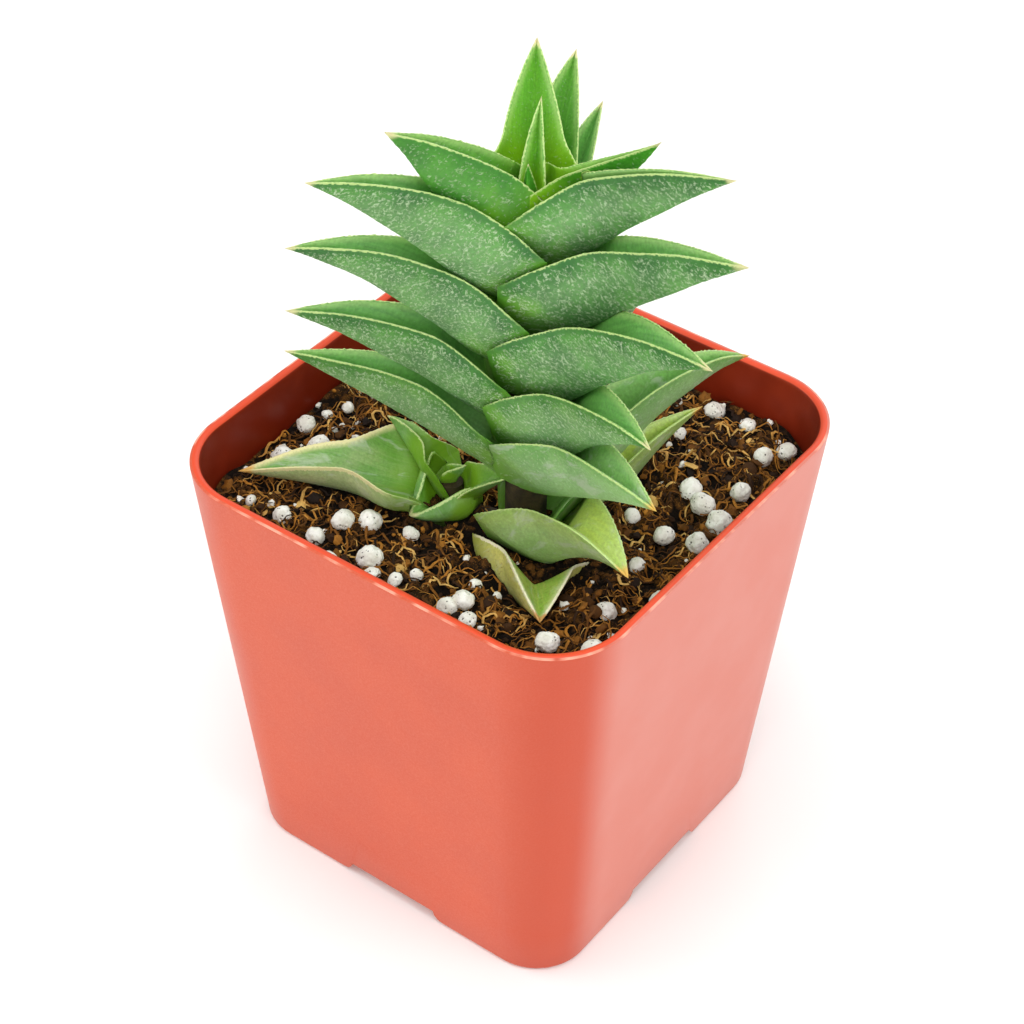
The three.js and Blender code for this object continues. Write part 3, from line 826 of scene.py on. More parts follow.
def makePot(material):
    ring = potRing(0, 0)
    deselect()
    bpy.ops.mesh.primitive_circle_add(vertices=len(ring), radius=1)
    body = named("potBody")
    layPoints(body, toFrame(potRing(*potProfile[0])))
    editMode(True)
    bpy.ops.mesh.select_all(action="SELECT")
    count = len(ring)
    for inset, z in potProfile[1:]:
        # the open loop is extruded and its new points go to the next ring of the profile
        bpy.ops.mesh.extrude_region_move(TRANSFORM_OT_translate={"value": (0, 0, 0)})
        shape = bmesh.from_edit_mesh(body.data)
        shape.verts.ensure_lookup_table()
        points = toFrame(potRing(inset, z))
        fresh = shape.verts[-count:]
        for vert, point in zip(fresh, points):
            vert.co = point
    bmesh.update_edit_mesh(body.data)
    selectOpenEdges()
    bpy.ops.mesh.edge_face_add()
    editMode(False)
    # how far round the profile a point lies: outer face, rim or inner face
    marks = np.repeat([potMark(inset, z) for inset, z in potProfile], count)
    pointAttribute(body, "potMark", marks, "FLOAT")
    # the two ends are closed apart: the underside and the floor inside
    pick(body)
    editMode(True)
    selectOpenEdges()
    bpy.ops.mesh.fill_holes(sides=0)
    faceOutwards()
    cutters = [footGapCutter(False), footGapCutter(True)]
    reach = pot["drainOffset"]
    for x, y in [(0, 0), (reach, 0), (-reach, 0), (0, reach), (0, -reach)]:
        deselect()
        bpy.ops.mesh.primitive_cylinder_add(
            vertices=32, radius=pot["drainRadius"] * mm, depth=20 * mm,
            location=tuple(toFrame((x, y, 3))))
        bpy.ops.object.transform_apply(location=True, rotation=False, scale=False)
        cutters.append(bpy.context.object)
    for cutter in cutters:
        cutAway(body, cutter)
        bpy.data.objects.remove(cutter)
    # the cuts' sharp edges are softened
    pick(body)
    soften = body.modifiers.new("soften", "BEVEL")
    soften.width = pot["soften"] * mm
    soften.segments = 2
    soften.limit_method = "ANGLE"
    soften.angle_limit = math.radians(38)
    bpy.ops.object.modifier_apply(modifier=soften.name)
    smoothShade(body, "pot")
    dress(body, material, ["pot"])


# ---- leaves

stem = {"at": (7, -6.7), "radius": 2.6, "foot": 38, "top": 102.5}
offset = {"at": (-4, -7.6), "radius": 1.5, "top": 59.6, "start": 56.2, "bend": 54.4}

# how a leaf sits: distance of its root from the axis, half width and seat at the foot, length of
# the foot, thickness, turn about its length, and how far its faces bulge
bigLeaf = {"axis": stem["at"], "root": 7.2, "wrap": 6.7, "seat": 4, "foot": 2, "scale": 1,
           "roll": 0, "belly": 0}
crownLeaf = {**bigLeaf, "root": 2.2, "wrap": 1.8, "seat": 1.6, "foot": 3, "scale": 0.45}
offsetLeaf = {**bigLeaf, "axis": offset["at"], "root": 3, "wrap": 4.2, "seat": 1.9, "scale": 0.5}

leafDetail = {"spacing": 0.14, "outer": 54, "edge": 5, "inner": 14, "clearance": 0.09,
              "reliefSize": 0.42, "reliefDepth": 0.085}
coarseDetail = {"share": 0.4, "edge": 3}
marginEdge = 0.34          # width of the margin's rounded edge
tooth = {"spacing": 0.6, "out": 0.05, "up": 0.1, "reach": 0.22}

# name: turn, base height, length, rise, lift, half width, depth of the fold, finish, slot
columnLeaves = {
    "leaf_crown_3": (200, 104, 4.4, 84, 88, 0.6, 1.4, "leaf crown", "leaf_young"),
    "leaf_crown_2": (298, 104, 9.3, 81, 85, 1, 2.4, "leaf crown", "leaf_young"),
    "leaf_crown_1": (118, 103, 13.5, 70, 74, 1.8, 4, "leaf crown", "leaf_young"),
    "leaf_right_1": (10.5, 102, 21.1, 46, 62, 1.2, 5.9, "leaf crown", "leaf_young"),
    "leaf_left_1": (235, 100, 21.5, 60, 57, 2.8, 9.8, "leaf young", "leaf_young"),
    "leaf_back_1": (125, 99, 21, 45, 53, 4.2, 9.7, "leaf crown", "leaf_young"),
    "leaf_right_2": (1.2, 99.9, 28, 46, 38, 1, 8.9, "leaf grown", "leaf"),
    "leaf_left_2": (232, 95.5, 25.5, 47, 34, 2.6, 9.7, "leaf grown", "leaf"),
    "leaf_back_2": (115, 91.5, 27, 45, 40, 4.4, 9.6, "leaf young", "leaf"),
    "leaf_right_3": (-3, 91, 30, 43, 37, 2.8, 9.6, "leaf grown", "leaf"),
    "leaf_left_3": (221, 85.5, 26, 44, 20, 3.4, 9.5, "leaf grown", "leaf"),
    "leaf_back_3": (109, 84, 28.5, 43, 30, 3.6, 9.5, "leaf grown", "leaf"),
    "leaf_right_4": (-15, 81.5, 31, 46, 25, 3.8, 9.4, "leaf grown", "leaf"),
    "leaf_left_4": (210, 76, 25, 34, 17, 3.3, 9.3, "leaf grown", "leaf"),
    "leaf_back_4": (103, 76, 28, 41, 20, 3.6, 9.3, "leaf grown", "leaf"),
    "leaf_right_5": (-22, 73, 24, 47, 22, 4, 9.2, "leaf wide", "leaf"),
    "leaf_left_5": (201, 67.5, 26, 26, 20, 3, 9.1, "leaf wide", "leaf"),
    "leaf_back_5": (92, 67, 28, 36, 8, 3.6, 9.4, "leaf grown", "leaf"),
    "leaf_right_6": (-22, 67.5, 24, 35, 26, 3.6, 8.8, "leaf low", "leaf"),
    "leaf_back_6": (74, 57, 31.5, 32, -5, 3.4, 10.2, "leaf low", "leaf"),
    "leaf_right_7": (-23, 56.8, 19.5, 46, 4, 5.2, 8, "leaf lower", "leaf_old"),
    "leaf_back_7": (74, 47.5, 26.5, 42, 22, 3, 8.6, "leaf lower", "leaf_old"),
    "leaf_right_8": (-49, 50.8, 15.4, 41, 28.5, 5.3, 7.6, "leaf old", "leaf_old"),
}
offsetLeaves = {
    "pup_bud": (20, 60, 3, 62, 74, 1, 2, "leaf offset", "leaf_young"),
    "pup_leaf_1": (168.5, 58.5, 9.1, 35, 11, 1.5, 3.6, "leaf offset", "leaf_young"),
    "pup_leaf_2": (351, 58.3, 10.6, 55, 44, 2.8, 3.2, "leaf offset", "leaf_young"),
    "pup_leaf_4": (211, 56.2, 20.7, 7.3, 5.5, 3.7, 6.4, "leaf offset long", "leaf_old"),
    "pup_leaf_3": (257.5, 54.6, 5.8, 22, 55, 4, 7.2, "leaf offset", "leaf_young"),
}
ownForm = {
    "leaf_crown_3": {"root": 1, "wrap": 1, "seat": 0.8},
    "leaf_crown_2": {"wrap": 1.4},
    "leaf_right_1": {"root": 2.2, "wrap": 6.6, "seat": 1.8, "roll": 2.7},
    "leaf_left_1": {"root": 6, "wrap": 5.2, "seat": 3},
    "leaf_right_2": {"root": 5.8, "wrap": 5.4, "roll": 9},
    "leaf_right_7": {"wrap": 8.5, "roll": -7},
    "leaf_right_8": {"root": 8.2, "wrap": 8.1, "roll": -15.4, "belly": 0.32},
    "pup_bud": {"root": 0.8, "wrap": 1.1, "seat": 0.6, "belly": 0.4},
    "pup_leaf_1": {"root": 4.5, "roll": 28},
    "pup_leaf_2": {"root": 4, "wrap": 3.8, "roll": 30, "belly": 0.2},
    "pup_leaf_3": {"root": 2.1, "wrap": 4.3, "roll": -2, "belly": 1.3},
    "pup_leaf_4": {"root": 6.7, "wrap": 8, "foot": 5, "roll": 3.4, "belly": 0.5, "scale": 0.8},
}
# upright rooms that a sheath leaves free: in front of pup_leaf_3, and left of leaf_right_1
clearedRooms = {
    "offset front": {"at": (-5.6, -14.1), "turn": 39.3,
                     "x": (0, 8), "y": (-20, 1.5), "z": (0, 61.2)},
    "crown left": {"at": (5.9, -6.1), "turn": 39.3,
                   "x": (-15, 0), "y": (-20, 20), "z": (90, 120)},
}
leafKeys = ("turn", "base", "length", "rise", "lift", "half", "deep", "finish", "slot")


def leafList():
    made = []
    for names, common in ((columnLeaves, bigLeaf), (offsetLeaves, offsetLeaf)):
        for name, row in names.items():
            shared = crownLeaf if "crown" in name else common
            leaf = {"name": name, **shared, **dict(zip(leafKeys, row)), **ownForm.get(name, {})}
            leaf["onStem"] = names is columnLeaves
            made.append(leaf)
    return made


def leafStations(leaf, rings):
    # along the leaf, from the foot on the stem to the tip: place, slope and size of the fold
    footRings = max(4, rings // 12)
    b = np.linspace(1, 0, footRings + 1)[:-1]
    t = np.linspace(0, 1, rings - footRings)
    rise, lift = math.radians(leaf["rise"]), math.radians(leaf["lift"])
    steps = (np.arange(24) + 0.5) / 24
    slopes = blend(rise, lift, (steps[None, :] * t[:, None]) ** 2)
    reach = leaf["root"] + (np.cos(slopes).mean(1) * leaf["length"] * t)
    height = leaf["base"] + (np.sin(slopes).mean(1) * leaf["length"] * t)
    bend = leaf["foot"] * 0.45
    ends = [(leaf["root"], leaf["base"]),
            (leaf["root"] - bend * math.cos(rise), leaf["base"] - bend * math.sin(rise)),
            (leaf["seat"], leaf["base"] - leaf["foot"])]
    footReach, footHeight = (((1 - b) ** 2 * ends[0][axis] + 2 * b * (1 - b) * ends[1][axis]
                              + b * b * ends[2][axis]) for axis in (0, 1))
    flare = blend(leaf["wrap"], leaf["half"], smooth(t / 0.4))
    half = flare * (1 - t) ** 0.95 * (1 + 0.8 * t)
    deep = leaf["deep"] * (1 - t ** 2) ** 1.1
    keel = blend(2.1, 3.3, smooth(t / 0.5)) * leaf["scale"]
    return {
        "t": np.concatenate([-b * 0.1, t]),
        "along": np.concatenate([-b * leaf["foot"], t * leaf["length"]]),
        "reach": np.concatenate([footReach, reach]),
        "height": np.concatenate([footHeight, height]),
        "rise": np.concatenate([blend(rise, math.radians(84), b), blend(rise, lift, t ** 2)]),
        "half": np.concatenate([leaf["wrap"] * blend(1, 0.52, b), half]),
        "deep": np.concatenate([blend(leaf["deep"], leaf["seat"] + 1.2, b), deep]),
        "keel": np.concatenate([np.full(len(b), 2.1 * leaf["scale"]), keel]),
        "belly": leaf["belly"] * np.concatenate([1 - b, np.ones(len(t))]),
    }


def toothed(along, side, seed):
    # small blunt teeth along a margin, of uneven size
    phase = along / tooth["spacing"] + 0.35 * np.sin(along * 1.9 + seed + side)
    size = 0.55 + 0.45 * np.sin(along * 2.7 + 3 * side + seed * 1.7)
    return np.maximum(np.sin(phase * 2 * math.pi), -0.2) * size


def leafPoints(leaf, grow, rings, outerCount, edgeCount, innerCount, detail):
    # points of the leaf's skin by station and round the section, with what its finish reads
    at = {key: value[:, None] for key, value in leafStations(leaf, rings).items()}
    half, deep = at["half"], at["deep"]
    seed = leaf["seed"]
    edge = np.minimum(marginEdge, 0.8 * half) + grow
    wide = half + grow
    inside = np.maximum(wide - edge - grow, 0.12 * half)
    bottom = np.minimum(at["keel"], 0.55 * deep) + grow
    lip = 0.985 * deep + grow
    top = deep + grow
    v = np.linspace(0, 1, edgeCount + 2)[None, 1:-1]
    uHalf = np.linspace(0, 1, innerCount + 1)[None, :]
    uOuter = np.linspace(-1, 1, outerCount)[None, :]
    uOuter = np.sign(uOuter) * np.abs(uOuter) ** 0.92

    def innerPart(u):
        rounded = blend(np.abs(u) ** 1.3, np.sin(math.pi / 2 * np.abs(u) ** 1.15), 0.4)
        return inside * u * (1 + 0.5 * at["belly"] * (1 - u * u)), bottom + (lip - bottom) * rounded

    def edgePart(share, side):
        arch = 0.16 * np.minimum(edge, marginEdge) * np.sin(share * math.pi)
        return side * blend(inside, wide, share), blend(lip, top, share) + arch

    parts = [innerPart(-uHalf), edgePart(v, -1),
             (wide * uOuter * (1 + at["belly"] * (1 - uOuter ** 2)),
              -grow + (deep + 2 * grow) * np.abs(uOuter) ** 1.5),
             edgePart(v[:, ::-1], 1), innerPart(uHalf[:, ::-1])]
    counts = [part[0].shape[1] for part in parts]
    leftEnd = counts[0] + counts[1]
    rightEnd = leftEnd + counts[2] - 1
    across = np.concatenate([part[0] for part in parts], 1)
    up = np.concatenate([part[1] for part in parts], 1)
    shares = np.repeat([1.0, 0.5, 0.0, 0.5, 1.0], counts)[None, :]
    # distance from the outer edge of the margin, over either face
    stepLength = np.hypot(np.diff(across, axis=1), np.diff(up, axis=1))
    run = np.concatenate([np.zeros((len(across), 1)), np.cumsum(stepLength, 1)], 1)
    fromEdge = np.minimum(np.abs(run - run[:, [leftEnd]]), np.abs(run - run[:, [rightEnd]]))
    taper = smooth((1 - at["t"]) / 0.08) * smooth(at["half"] / 1.2)
    if detail:
        for side in (-1, 1):
            on = np.exp(-(fromEdge / tooth["reach"]) ** 2) * (np.sign(across) == side)
            teeth = toothed(at["along"], side, seed) * taper * smooth(at["t"] / 0.1 + 0.6)
            across = across + side * on * teeth * tooth["out"]
            up = up + on * teeth * tooth["up"]
    # the leaf is a little uneven: a slight sideways sway and soft swells in both faces
    t = np.clip(at["t"], 0, 1)
    sway = 0.25 * math.sin(seed * 3.1) * t ** 2 * (1 - t) * 4
    swell = 0.1 * np.sin(at["along"] * 0.55 + seed) * np.sin(across * 0.45 + seed * 2)
    swell = swell * taper * smooth(at["t"] / 0.15)
    across = across + sway
    up = up + swell * np.minimum(1, deep / 3)
    # a rolled leaf lies turned about its length
    roll = math.radians(leaf["roll"])
    over = across
    across = math.cos(roll) * over - math.sin(roll) * (up - deep / 2)
    up = math.sin(roll) * over + math.cos(roll) * (up - deep / 2) + deep / 2
    turn = math.radians(leaf["turn"])
    reach = at["reach"] - np.sin(at["rise"]) * up
    x = leaf["axis"][0] + reach * math.cos(turn) - across * math.sin(turn)
    y = leaf["axis"][1] + reach * math.sin(turn) + across * math.cos(turn)
    z = at["height"] + np.cos(at["rise"]) * up
    if grow:
        tipOut = grow * (at["t"] >= 1)
        x = x + tipOut * math.cos(turn) * np.cos(at["rise"])
        y = y + tipOut * math.sin(turn) * np.cos(at["rise"])
        z = z + tipOut * np.sin(at["rise"])
    points = np.stack([x, y, z], -1)
    layer = shares * 6 + leaf["seed"] * 20
    # across is measured over the face, from the keel
    middle = run[:, [leftEnd + counts[2] // 2]]
    overFace = np.where(shares < 0.25, run - middle, over * 1.6)
    place = np.stack(np.broadcast_arrays(overFace, at["along"], layer), -1)
    mark = np.stack(np.broadcast_arrays(fromEdge, at["t"], shares), -1)
    return points, place, mark


def leafBody(leaf, name, grow, coarse):
    detail = coarseDetail["share"] if coarse else 1.0
    small = min(1.0, 0.35 + leaf["deep"] / 12)
    rings = int(max(24, leaf["length"] / leafDetail["spacing"] * detail))
    outerCount = int(leafDetail["outer"] * detail * small) // 2 * 2 + 1
    edgeCount = (coarseDetail if coarse else leafDetail)["edge"]
    innerCount = max(6, int(leafDetail["inner"] * detail * small))
    laid = leafPoints(leaf, grow, rings, outerCount, edgeCount, innerCount, not coarse)
    # the last ring before the tip is too small to keep its points apart
    points, place, mark = (np.delete(each, -2, 0) for each in laid)
    rows, columns = points.shape[:2]
    points[-1] = points[-1].mean(0)
    if coarse:
        return tubeOf(name, points)
    return tubeOf(name, points, {"leafPlace": place, "leafMark": mark})


def stemBody(name, grow):
    foot, top, radius = stem["foot"], stem["top"], stem["radius"]
    profile = [(0.02, foot - grow), (1.2, foot + 0.5 - grow), (radius, foot + 6),
               (radius, top - 9), (1.2, top + grow), (0.02, top + 0.4 + grow)]
    angles = np.linspace(0, 2 * math.pi, 37)
    angles[-1] = 0
    x, y = stem["at"]
    return tubeOf(name, np.array([[(x + (r + grow) * math.cos(a), y + (r + grow) * math.sin(a), z)
                                   for a in angles] for r, z in profile]))


def offsetStemBody(name, grow):
    start = stem["at"][0] - stem["radius"] - 0.3
    ends = [Vector((start + grow, stem["at"][1], offset["start"])),
            Vector((*offset["at"], offset["bend"])),
            Vector((*offset["at"], offset["top"] + grow))]
    sides, rows = 24, 16
    radius = offset["radius"] + grow
    points = np.zeros((rows, sides + 1, 3))
    for row in range(rows):
        b = row / (rows - 1)
        middle = (1 - b) ** 2 * ends[0] + 2 * b * (1 - b) * ends[1] + b * b * ends[2]
        along = (2 * (1 - b) * (ends[1] - ends[0]) + 2 * b * (ends[2] - ends[1])).normalized()
        side = along.cross(Vector((0, 1, 0))).normalized()
        other = along.cross(side)
        for column in range(sides + 1):
            angle = 2 * math.pi * (column % sides) / sides
            out = math.cos(angle) * side + math.sin(angle) * other
            points[row, column] = middle + radius * out
    return tubeOf(name, points)


def tuckIn(body, rooms):
    for room in rooms:
        if boxesTouch(body, room):
            cutAway(body, room)
    keepLargest(body)


def makePlant(finishes, stemPaintedDark):
    gap = leafDetail["clearance"]
    stemPiece = stemBody("stemPiece", 0)
    smoothShade(stemPiece, "stem")
    dress(stemPiece, stemPaintedDark, ["stem"])
    rooms = [stemBody("stemRoom", gap)]
    leaves = leafList()
    for count, leaf in enumerate(leaves):
        leaf["seed"] = 1 + count * 0.73
    crownLeft, front = clearedRoom("crown left"), clearedRoom("offset front")
    pieces = []
    for leaf in [each for each in reversed(leaves) if each["onStem"]]:
        spaces = [crownLeft] if leaf["name"] == "leaf_right_1" else []
        pieces.append(tuckedLeaf(leaf, rooms, finishes, spaces))
    offsetPiece = offsetStemBody("offsetStem", 0)
    tuckIn(offsetPiece, rooms)
    smoothShade(offsetPiece, "stem")
    dress(offsetPiece, stemPaintedDark, ["pup_stem"])
    rooms.append(offsetStemBody("offsetStemRoom", gap))
    # the lowest leaf of the offset is whole, the others leave the room in front free
    spaces = []
    for leaf in [each for each in reversed(leaves) if not each["onStem"]]:
        pieces.append(tuckedLeaf(leaf, rooms, finishes, spaces))
        spaces = [front]
    for box in (front, crownLeft):
        bpy.data.objects.remove(box)
    return pieces, rooms


def clearedRoom(name):
    room = clearedRooms[name]
    deselect()
    bpy.ops.mesh.primitive_cube_add(size=1)
    box = bpy.context.object
    turn = Matrix.Rotation(math.radians(room["turn"]), 3, "Z")
    points = []
    for vert in box.data.vertices:
        local = Vector(blend(*room[axis], share + 0.5) for axis, share in zip("xyz", vert.co))
        points.append(turn @ local + Vector((*room["at"], 0)))
    layPoints(box, toFrame(points))
    return box


def tuckedLeaf(leaf, rooms, finishes, spaces):
    # older leaves keep their form, and each younger leaf is tucked in beside them
    first, *others = leaf["name"].split("_")
    body = leafBody(leaf, first + "".join(part.capitalize() for part in others), 0, False)
    addRelief(body, "papillaeRelief", leafDetail["reliefSize"], leafDetail["reliefDepth"], 1)
    tuckIn(body, [*rooms, *spaces])
    smoothShade(body, "leaf")
    dress(body, finishes[leaf["finish"]], [leaf["name"]])
    rooms.append(leafBody(leaf, leaf["name"] + "Room", leafDetail["clearance"], True))
    return body


# ---- soil, perlite and coir

soil = {
    "top": 57.2, "lump": 0.9, "gap": 0.3, "edgeSink": 0.5, "cells": 280,
    # the soil lies lower in the fold of the lowest leaf
    "dent": (15, -15.5, 4.2), "dentDepth": 2.6,
    "crumb": 0.62, "clod": 1.5, "seed": 23, "reach": 30,
}
# perlite grains seen on the surface: place and width
perliteSeen = [
    (-18, -24, 2.6), (-11, -20.6, 3), (-8.6, -18.2, 3), (-12.6, -24, 2.5), (-4.4, -23.6, 3.2),
    (-2.4, -25.6, 1.9), (0.4, -24.6, 2.1), (9.6, -22.8, 2.8), (8.6, -24.6, 2.5), (12, -25.2, 2.2),
    (22, -22.6, 2.9), (24, -13.4, 2.8), (19.6, 11.5, 3.1), (22.8, 9.4, 3.2), (13.4, 26.6, 2.8),
    (25.2, 14.4, 2.8), (23.8, 22, 2.6), (25.2, 25.4, 2.6), (26.6, 7.4, 3.6), (21.8, 2.2, 3),
    (26.6, 2.5, 2.9), (22.2, -4.2, 2), (-27.6, -8, 2.4), (-23.2, -10.8, 3.2), (-26, -14.6, 2.8),
]


def soilHeight(x, y):
    broad = np.sin(0.21 * x + 1.1) * np.cos(0.17 * y - 0.6)
    small = np.sin(0.63 * x - 0.4 * y) * np.cos(0.55 * y + 0.3 * x + 2)
    x0, y0, wide = soil["dent"]
    inFold = np.exp(-((x - x0) ** 2 + (y - y0) ** 2) / wide ** 2)
    return soil["top"] + soil["lump"] * (0.7 * broad + 0.45 * small) - soil["dentDepth"] * inFold


def crumble(x, y):
    # round clods of two sizes with deep chinks between them, on top of the broad lumps
    swirl = 0.4 * noise.noise(Vector((x * 0.8, y * 0.8, 5.5)))
    place = Vector((x / soil["clod"] + swirl, y / soil["clod"] - swirl, 3.1))
    near, second = noise.voronoi(place)[0][:2]
    small, next_ = noise.voronoi(place * 2.3)[0][:2]
    clods = min(second - near, 0.45) * 1.5 + min(next_ - small, 0.4) * 0.7
    broad = noise.fractal(Vector((x * 0.3, y * 0.3, 9.4)), 1.0, 2.1, 3)
    return soil["crumb"] * (clods * 1.5 + broad * 0.9 - 0.9)


def surfaceAt(x, y):
    return float(soilHeight(x, y)) + crumble(x, y)


def insidePot(x, y, margin):
    half, corner = potSection(soil["top"])
    reach = half - pot["wall"] - soil["gap"] - margin
    round_ = max(corner - pot["wall"] - soil["gap"] - margin, 1)
    dx = max(abs(x) - (reach - round_), 0)
    dy = max(abs(y) - (reach - round_), 0)
    return abs(x) < reach and abs(y) < reach and math.hypot(dx, dy) < round_


def squareToPot(gx, gy, half, corner):
    # a point of the flat square goes to its place in the rounded square
    reach = np.maximum(np.abs(gx), np.abs(gy))
    safe = np.maximum(reach, 1e-9)
    qx, qy = gx / safe * half, gy / safe * half
    inner = half - corner
    ax, ay = np.abs(qx), np.abs(qy)
    inCorner = (ax > inner) & (ay > inner)
    length = np.hypot(qx, qy)
    ux, uy = ax / length, ay / length
    along = inner * (ux + uy)
    out = along + np.sqrt(np.maximum(corner ** 2 - (inner ** 2 * 2 - along ** 2), 0))
    squeeze = np.where(inCorner, np.minimum(out / length, 1), 1)
    share = 1 - (1 - squeeze) * reach ** 3
    return gx * half * share, gy * half * share


def makeSoil(material, rooms):
    half, corner = potSection(soil["top"])
    inset = pot["wall"] + soil["gap"]
    size = soil["cells"] + 1
    ground, row, column = sheetOf("soilBody", size, size)
    gx = column / (size - 1) * 2 - 1
    gy = row / (size - 1) * 2 - 1
    x, y = squareToPot(gx, gy, half - inset, corner - inset)
    atWall = np.maximum(np.abs(gx), np.abs(gy))
    rise = np.array([crumble(a, b) for a, b in zip(x, y)])
    z = soilHeight(x, y) + rise * smooth((1 - atWall) / 0.05)
    z = z - soil["edgeSink"] * smooth((atWall - 0.93) / 0.07)
    layPoints(ground, toFrame(np.column_stack([x, y, z])))
    # how high each point lies among the clods, for the painted shade in the hollows
    pointAttribute(ground, "soilRise", smooth((rise / soil["crumb"] + 1) / 1.6), "FLOAT")
    pick(ground)
    editMode(True)
    selectOpenEdges()
    bpy.ops.mesh.extrude_region_move(TRANSFORM_OT_translate={"value": (0, 0, 0)})
    shape = bmesh.from_edit_mesh(ground.data)
    low = pot["floorTop"] + soil["gap"]
    lowHalf, _ = potSection(low)
    shrink = (lowHalf - inset) / (half - inset)
    for vert in (v for v in shape.verts if v.select):
        vert.co.x = (vert.co.x - potMiddleX * mm) * shrink + potMiddleX * mm
        vert.co.y *= shrink
        vert.co.z = low * mm
    bmesh.update_edit_mesh(ground.data)
    bpy.ops.mesh.edge_face_add()
    faceOutwards()
    tuckIn(ground, rooms)
    smoothShade(ground, "soil")
    dress(ground, material, ["soil"])


def leafTrees(pieces):
    # a search tree of each leaf, with the box that it fills
    trees = []
    for piece in pieces:
        corners = [v.co for v in piece.data.vertices]
        sides = [p.vertices for p in piece.data.polygons]
        trees.append((BVHTree.FromPolygons(corners, sides), *boxOf(piece)))
    return trees


def clearOf(trees, point, gap):
    # True where a point in the frame is outside every leaf by that gap
    room = max(gap, 0.2) * mm
    for tree, low, high in trees:
        if not all(a - room < value < b + room for a, value, b in zip(low, point, high)):
            continue
        spot, normal, _, _ = tree.find_nearest(point)
        away = Vector(point) - spot
        if away.dot(normal) < 0 or away.length < gap * mm:
            return False
    return True


def anywhere(draw):
    return draw.uniform(-soil["reach"], soil["reach"]), draw.uniform(-soil["reach"], soil["reach"])


perlite = {
    "count": 52, "tries": 4000, "least": 1.5, "spread": 1.5,
    # relief: name, grain size, strength
    "relief": (("perliteForm", 1.4, 0.6), ("perlitePores", 0.3, 0.1)),
    # pores: spacing, depth, least and greatest size as a share of the spacing, least that shows
    "poreSpacing": 0.42, "poreDepth": 0.12, "poreSize": (0.1, 0.38), "poreShown": 0.18,
    "poreEdge": 0.16, "lean": 0.6,
}


def perlitePlaces(draw, trees):
    places = [*perliteSeen]
    tries = 0
    while len(places) < perlite["count"] and tries < perlite["tries"]:
        tries += 1
        x, y = anywhere(draw)
        width = perlite["least"] + perlite["spread"] * draw.random() ** 1.6
        apart = all(math.hypot(x - a, y - b) > (width + w) * 0.6 for a, b, w in places)
        if not apart or not insidePot(x, y, width / 2 + 0.2):
            continue
        middle = toFrame((x, y, surfaceAt(x, y) + width * 0.3))
        if clearOf(trees, middle, width / 2 + 0.3):
            places.append((x, y, width))
    return places


def joinAll(name, objects):
    deselect()
    for obj in objects:
        obj.select_set(True)
    bpy.context.view_layer.objects.active = objects[0]
    bpy.ops.object.join()
    bpy.ops.object.transform_apply(location=True, rotation=True, scale=True)
    return named(name)


def makePerlite(material, trees, draw):
    places = perlitePlaces(draw, trees)
    grains = []
    for x, y, width in places:
        deselect()
        where = toFrame((x, y, surfaceAt(x, y) + width * 0.24))
        detail = 5 if len(grains) < len(perliteSeen) else 4
        bpy.ops.mesh.primitive_ico_sphere_add(subdivisions=detail, radius=width / 2 * mm,
                                              location=tuple(where))
        one = bpy.context.object
        one.scale = [draw.uniform(*span) for span in ((0.9, 1.12), (0.86, 1.1), (0.8, 0.98))]
        lean = perlite["lean"]
        one.rotation_euler = [draw.uniform(*span) for span in ((-lean, lean), (-lean, lean), (0, math.pi))]
        grains.append(one)
    body = joinAll("perliteGrains", grains)
    for row in perlite["relief"]:
        addRelief(body, *row)
    sinkPores(body)
    smoothShade(body, "grain")
    dress(body, material)
    return places


def sinkPores(body):
    # round pores sunk into the foam, one in most cells
    spots = pointsOf(body)
    outward = np.zeros(spots.size, np.float32)
    body.data.vertex_normals.foreach_get("vector", outward)
    depths = np.zeros(len(spots))
    least, most = perlite["poreSize"]
    for i, spot in enumerate(spots):
        distances, centres = noise.voronoi(Vector(spot) / (perlite["poreSpacing"] * mm))
        size = blend(least, most, noise.cell(centres[0] * 3.7))
        if size > perlite["poreShown"]:
            depths[i] = smooth((size - distances[0]) / perlite["poreEdge"] + 0.5)
    sunk = perlite["poreDepth"] * mm * depths
    layPoints(body, spots - outward.reshape(-1, 3) * sunk[:, None])
    # how deeply each point is sunk, for the painted shade in the pores
    pointAttribute(body, "pit", depths, "FLOAT")


def meshFrom(name, points, faces):
    data = bpy.data.meshes.new(name)
    data.from_pydata([tuple(p) for p in points], [], faces)
    obj = bpy.data.objects.new(name, data)
    bpy.context.scene.collection.objects.link(obj)
    return obj


def nearGrain(places, x, y):
    return any(math.hypot(x - a, y - b) < width * 0.42 for a, b, width in places)


fibre = {
    "count": 2200, "steps": (7, 10), "step": (0.28, 0.6), "curl": 0.28, "wander": 0.35,
    "thin": 0.06, "thicker": 0.15, "lift": (0.1, 0.75), "above": 0.1, "jitter": 0.08, "gap": 0.3,
    "tone": (0.55, 0.27), "flat": 0.75, "sides": 4,
}


def fibrePath(draw, x, y):
    # a strand's way over the soil, and its thickness
    steps = draw.randint(*fibre["steps"])
    reach = draw.uniform(*fibre["step"])
    heading = draw.uniform(0, 2 * math.pi)
    curl = draw.gauss(0, fibre["curl"])
    thick = fibre["thin"] + fibre["thicker"] * draw.random() ** 1.6
    lift, jitter = draw.uniform(*fibre["lift"]), fibre["jitter"]
    path = []
    for step in range(steps + 1):
        rise = lift * math.sin(step / steps * math.pi) + draw.uniform(-jitter, jitter)
        path.append((x, y, surfaceAt(x, y) + fibre["above"] + rise))
        heading += curl + draw.gauss(0, fibre["wander"])
        x += reach * math.cos(heading)
        y += reach * math.sin(heading)
    return path, thick


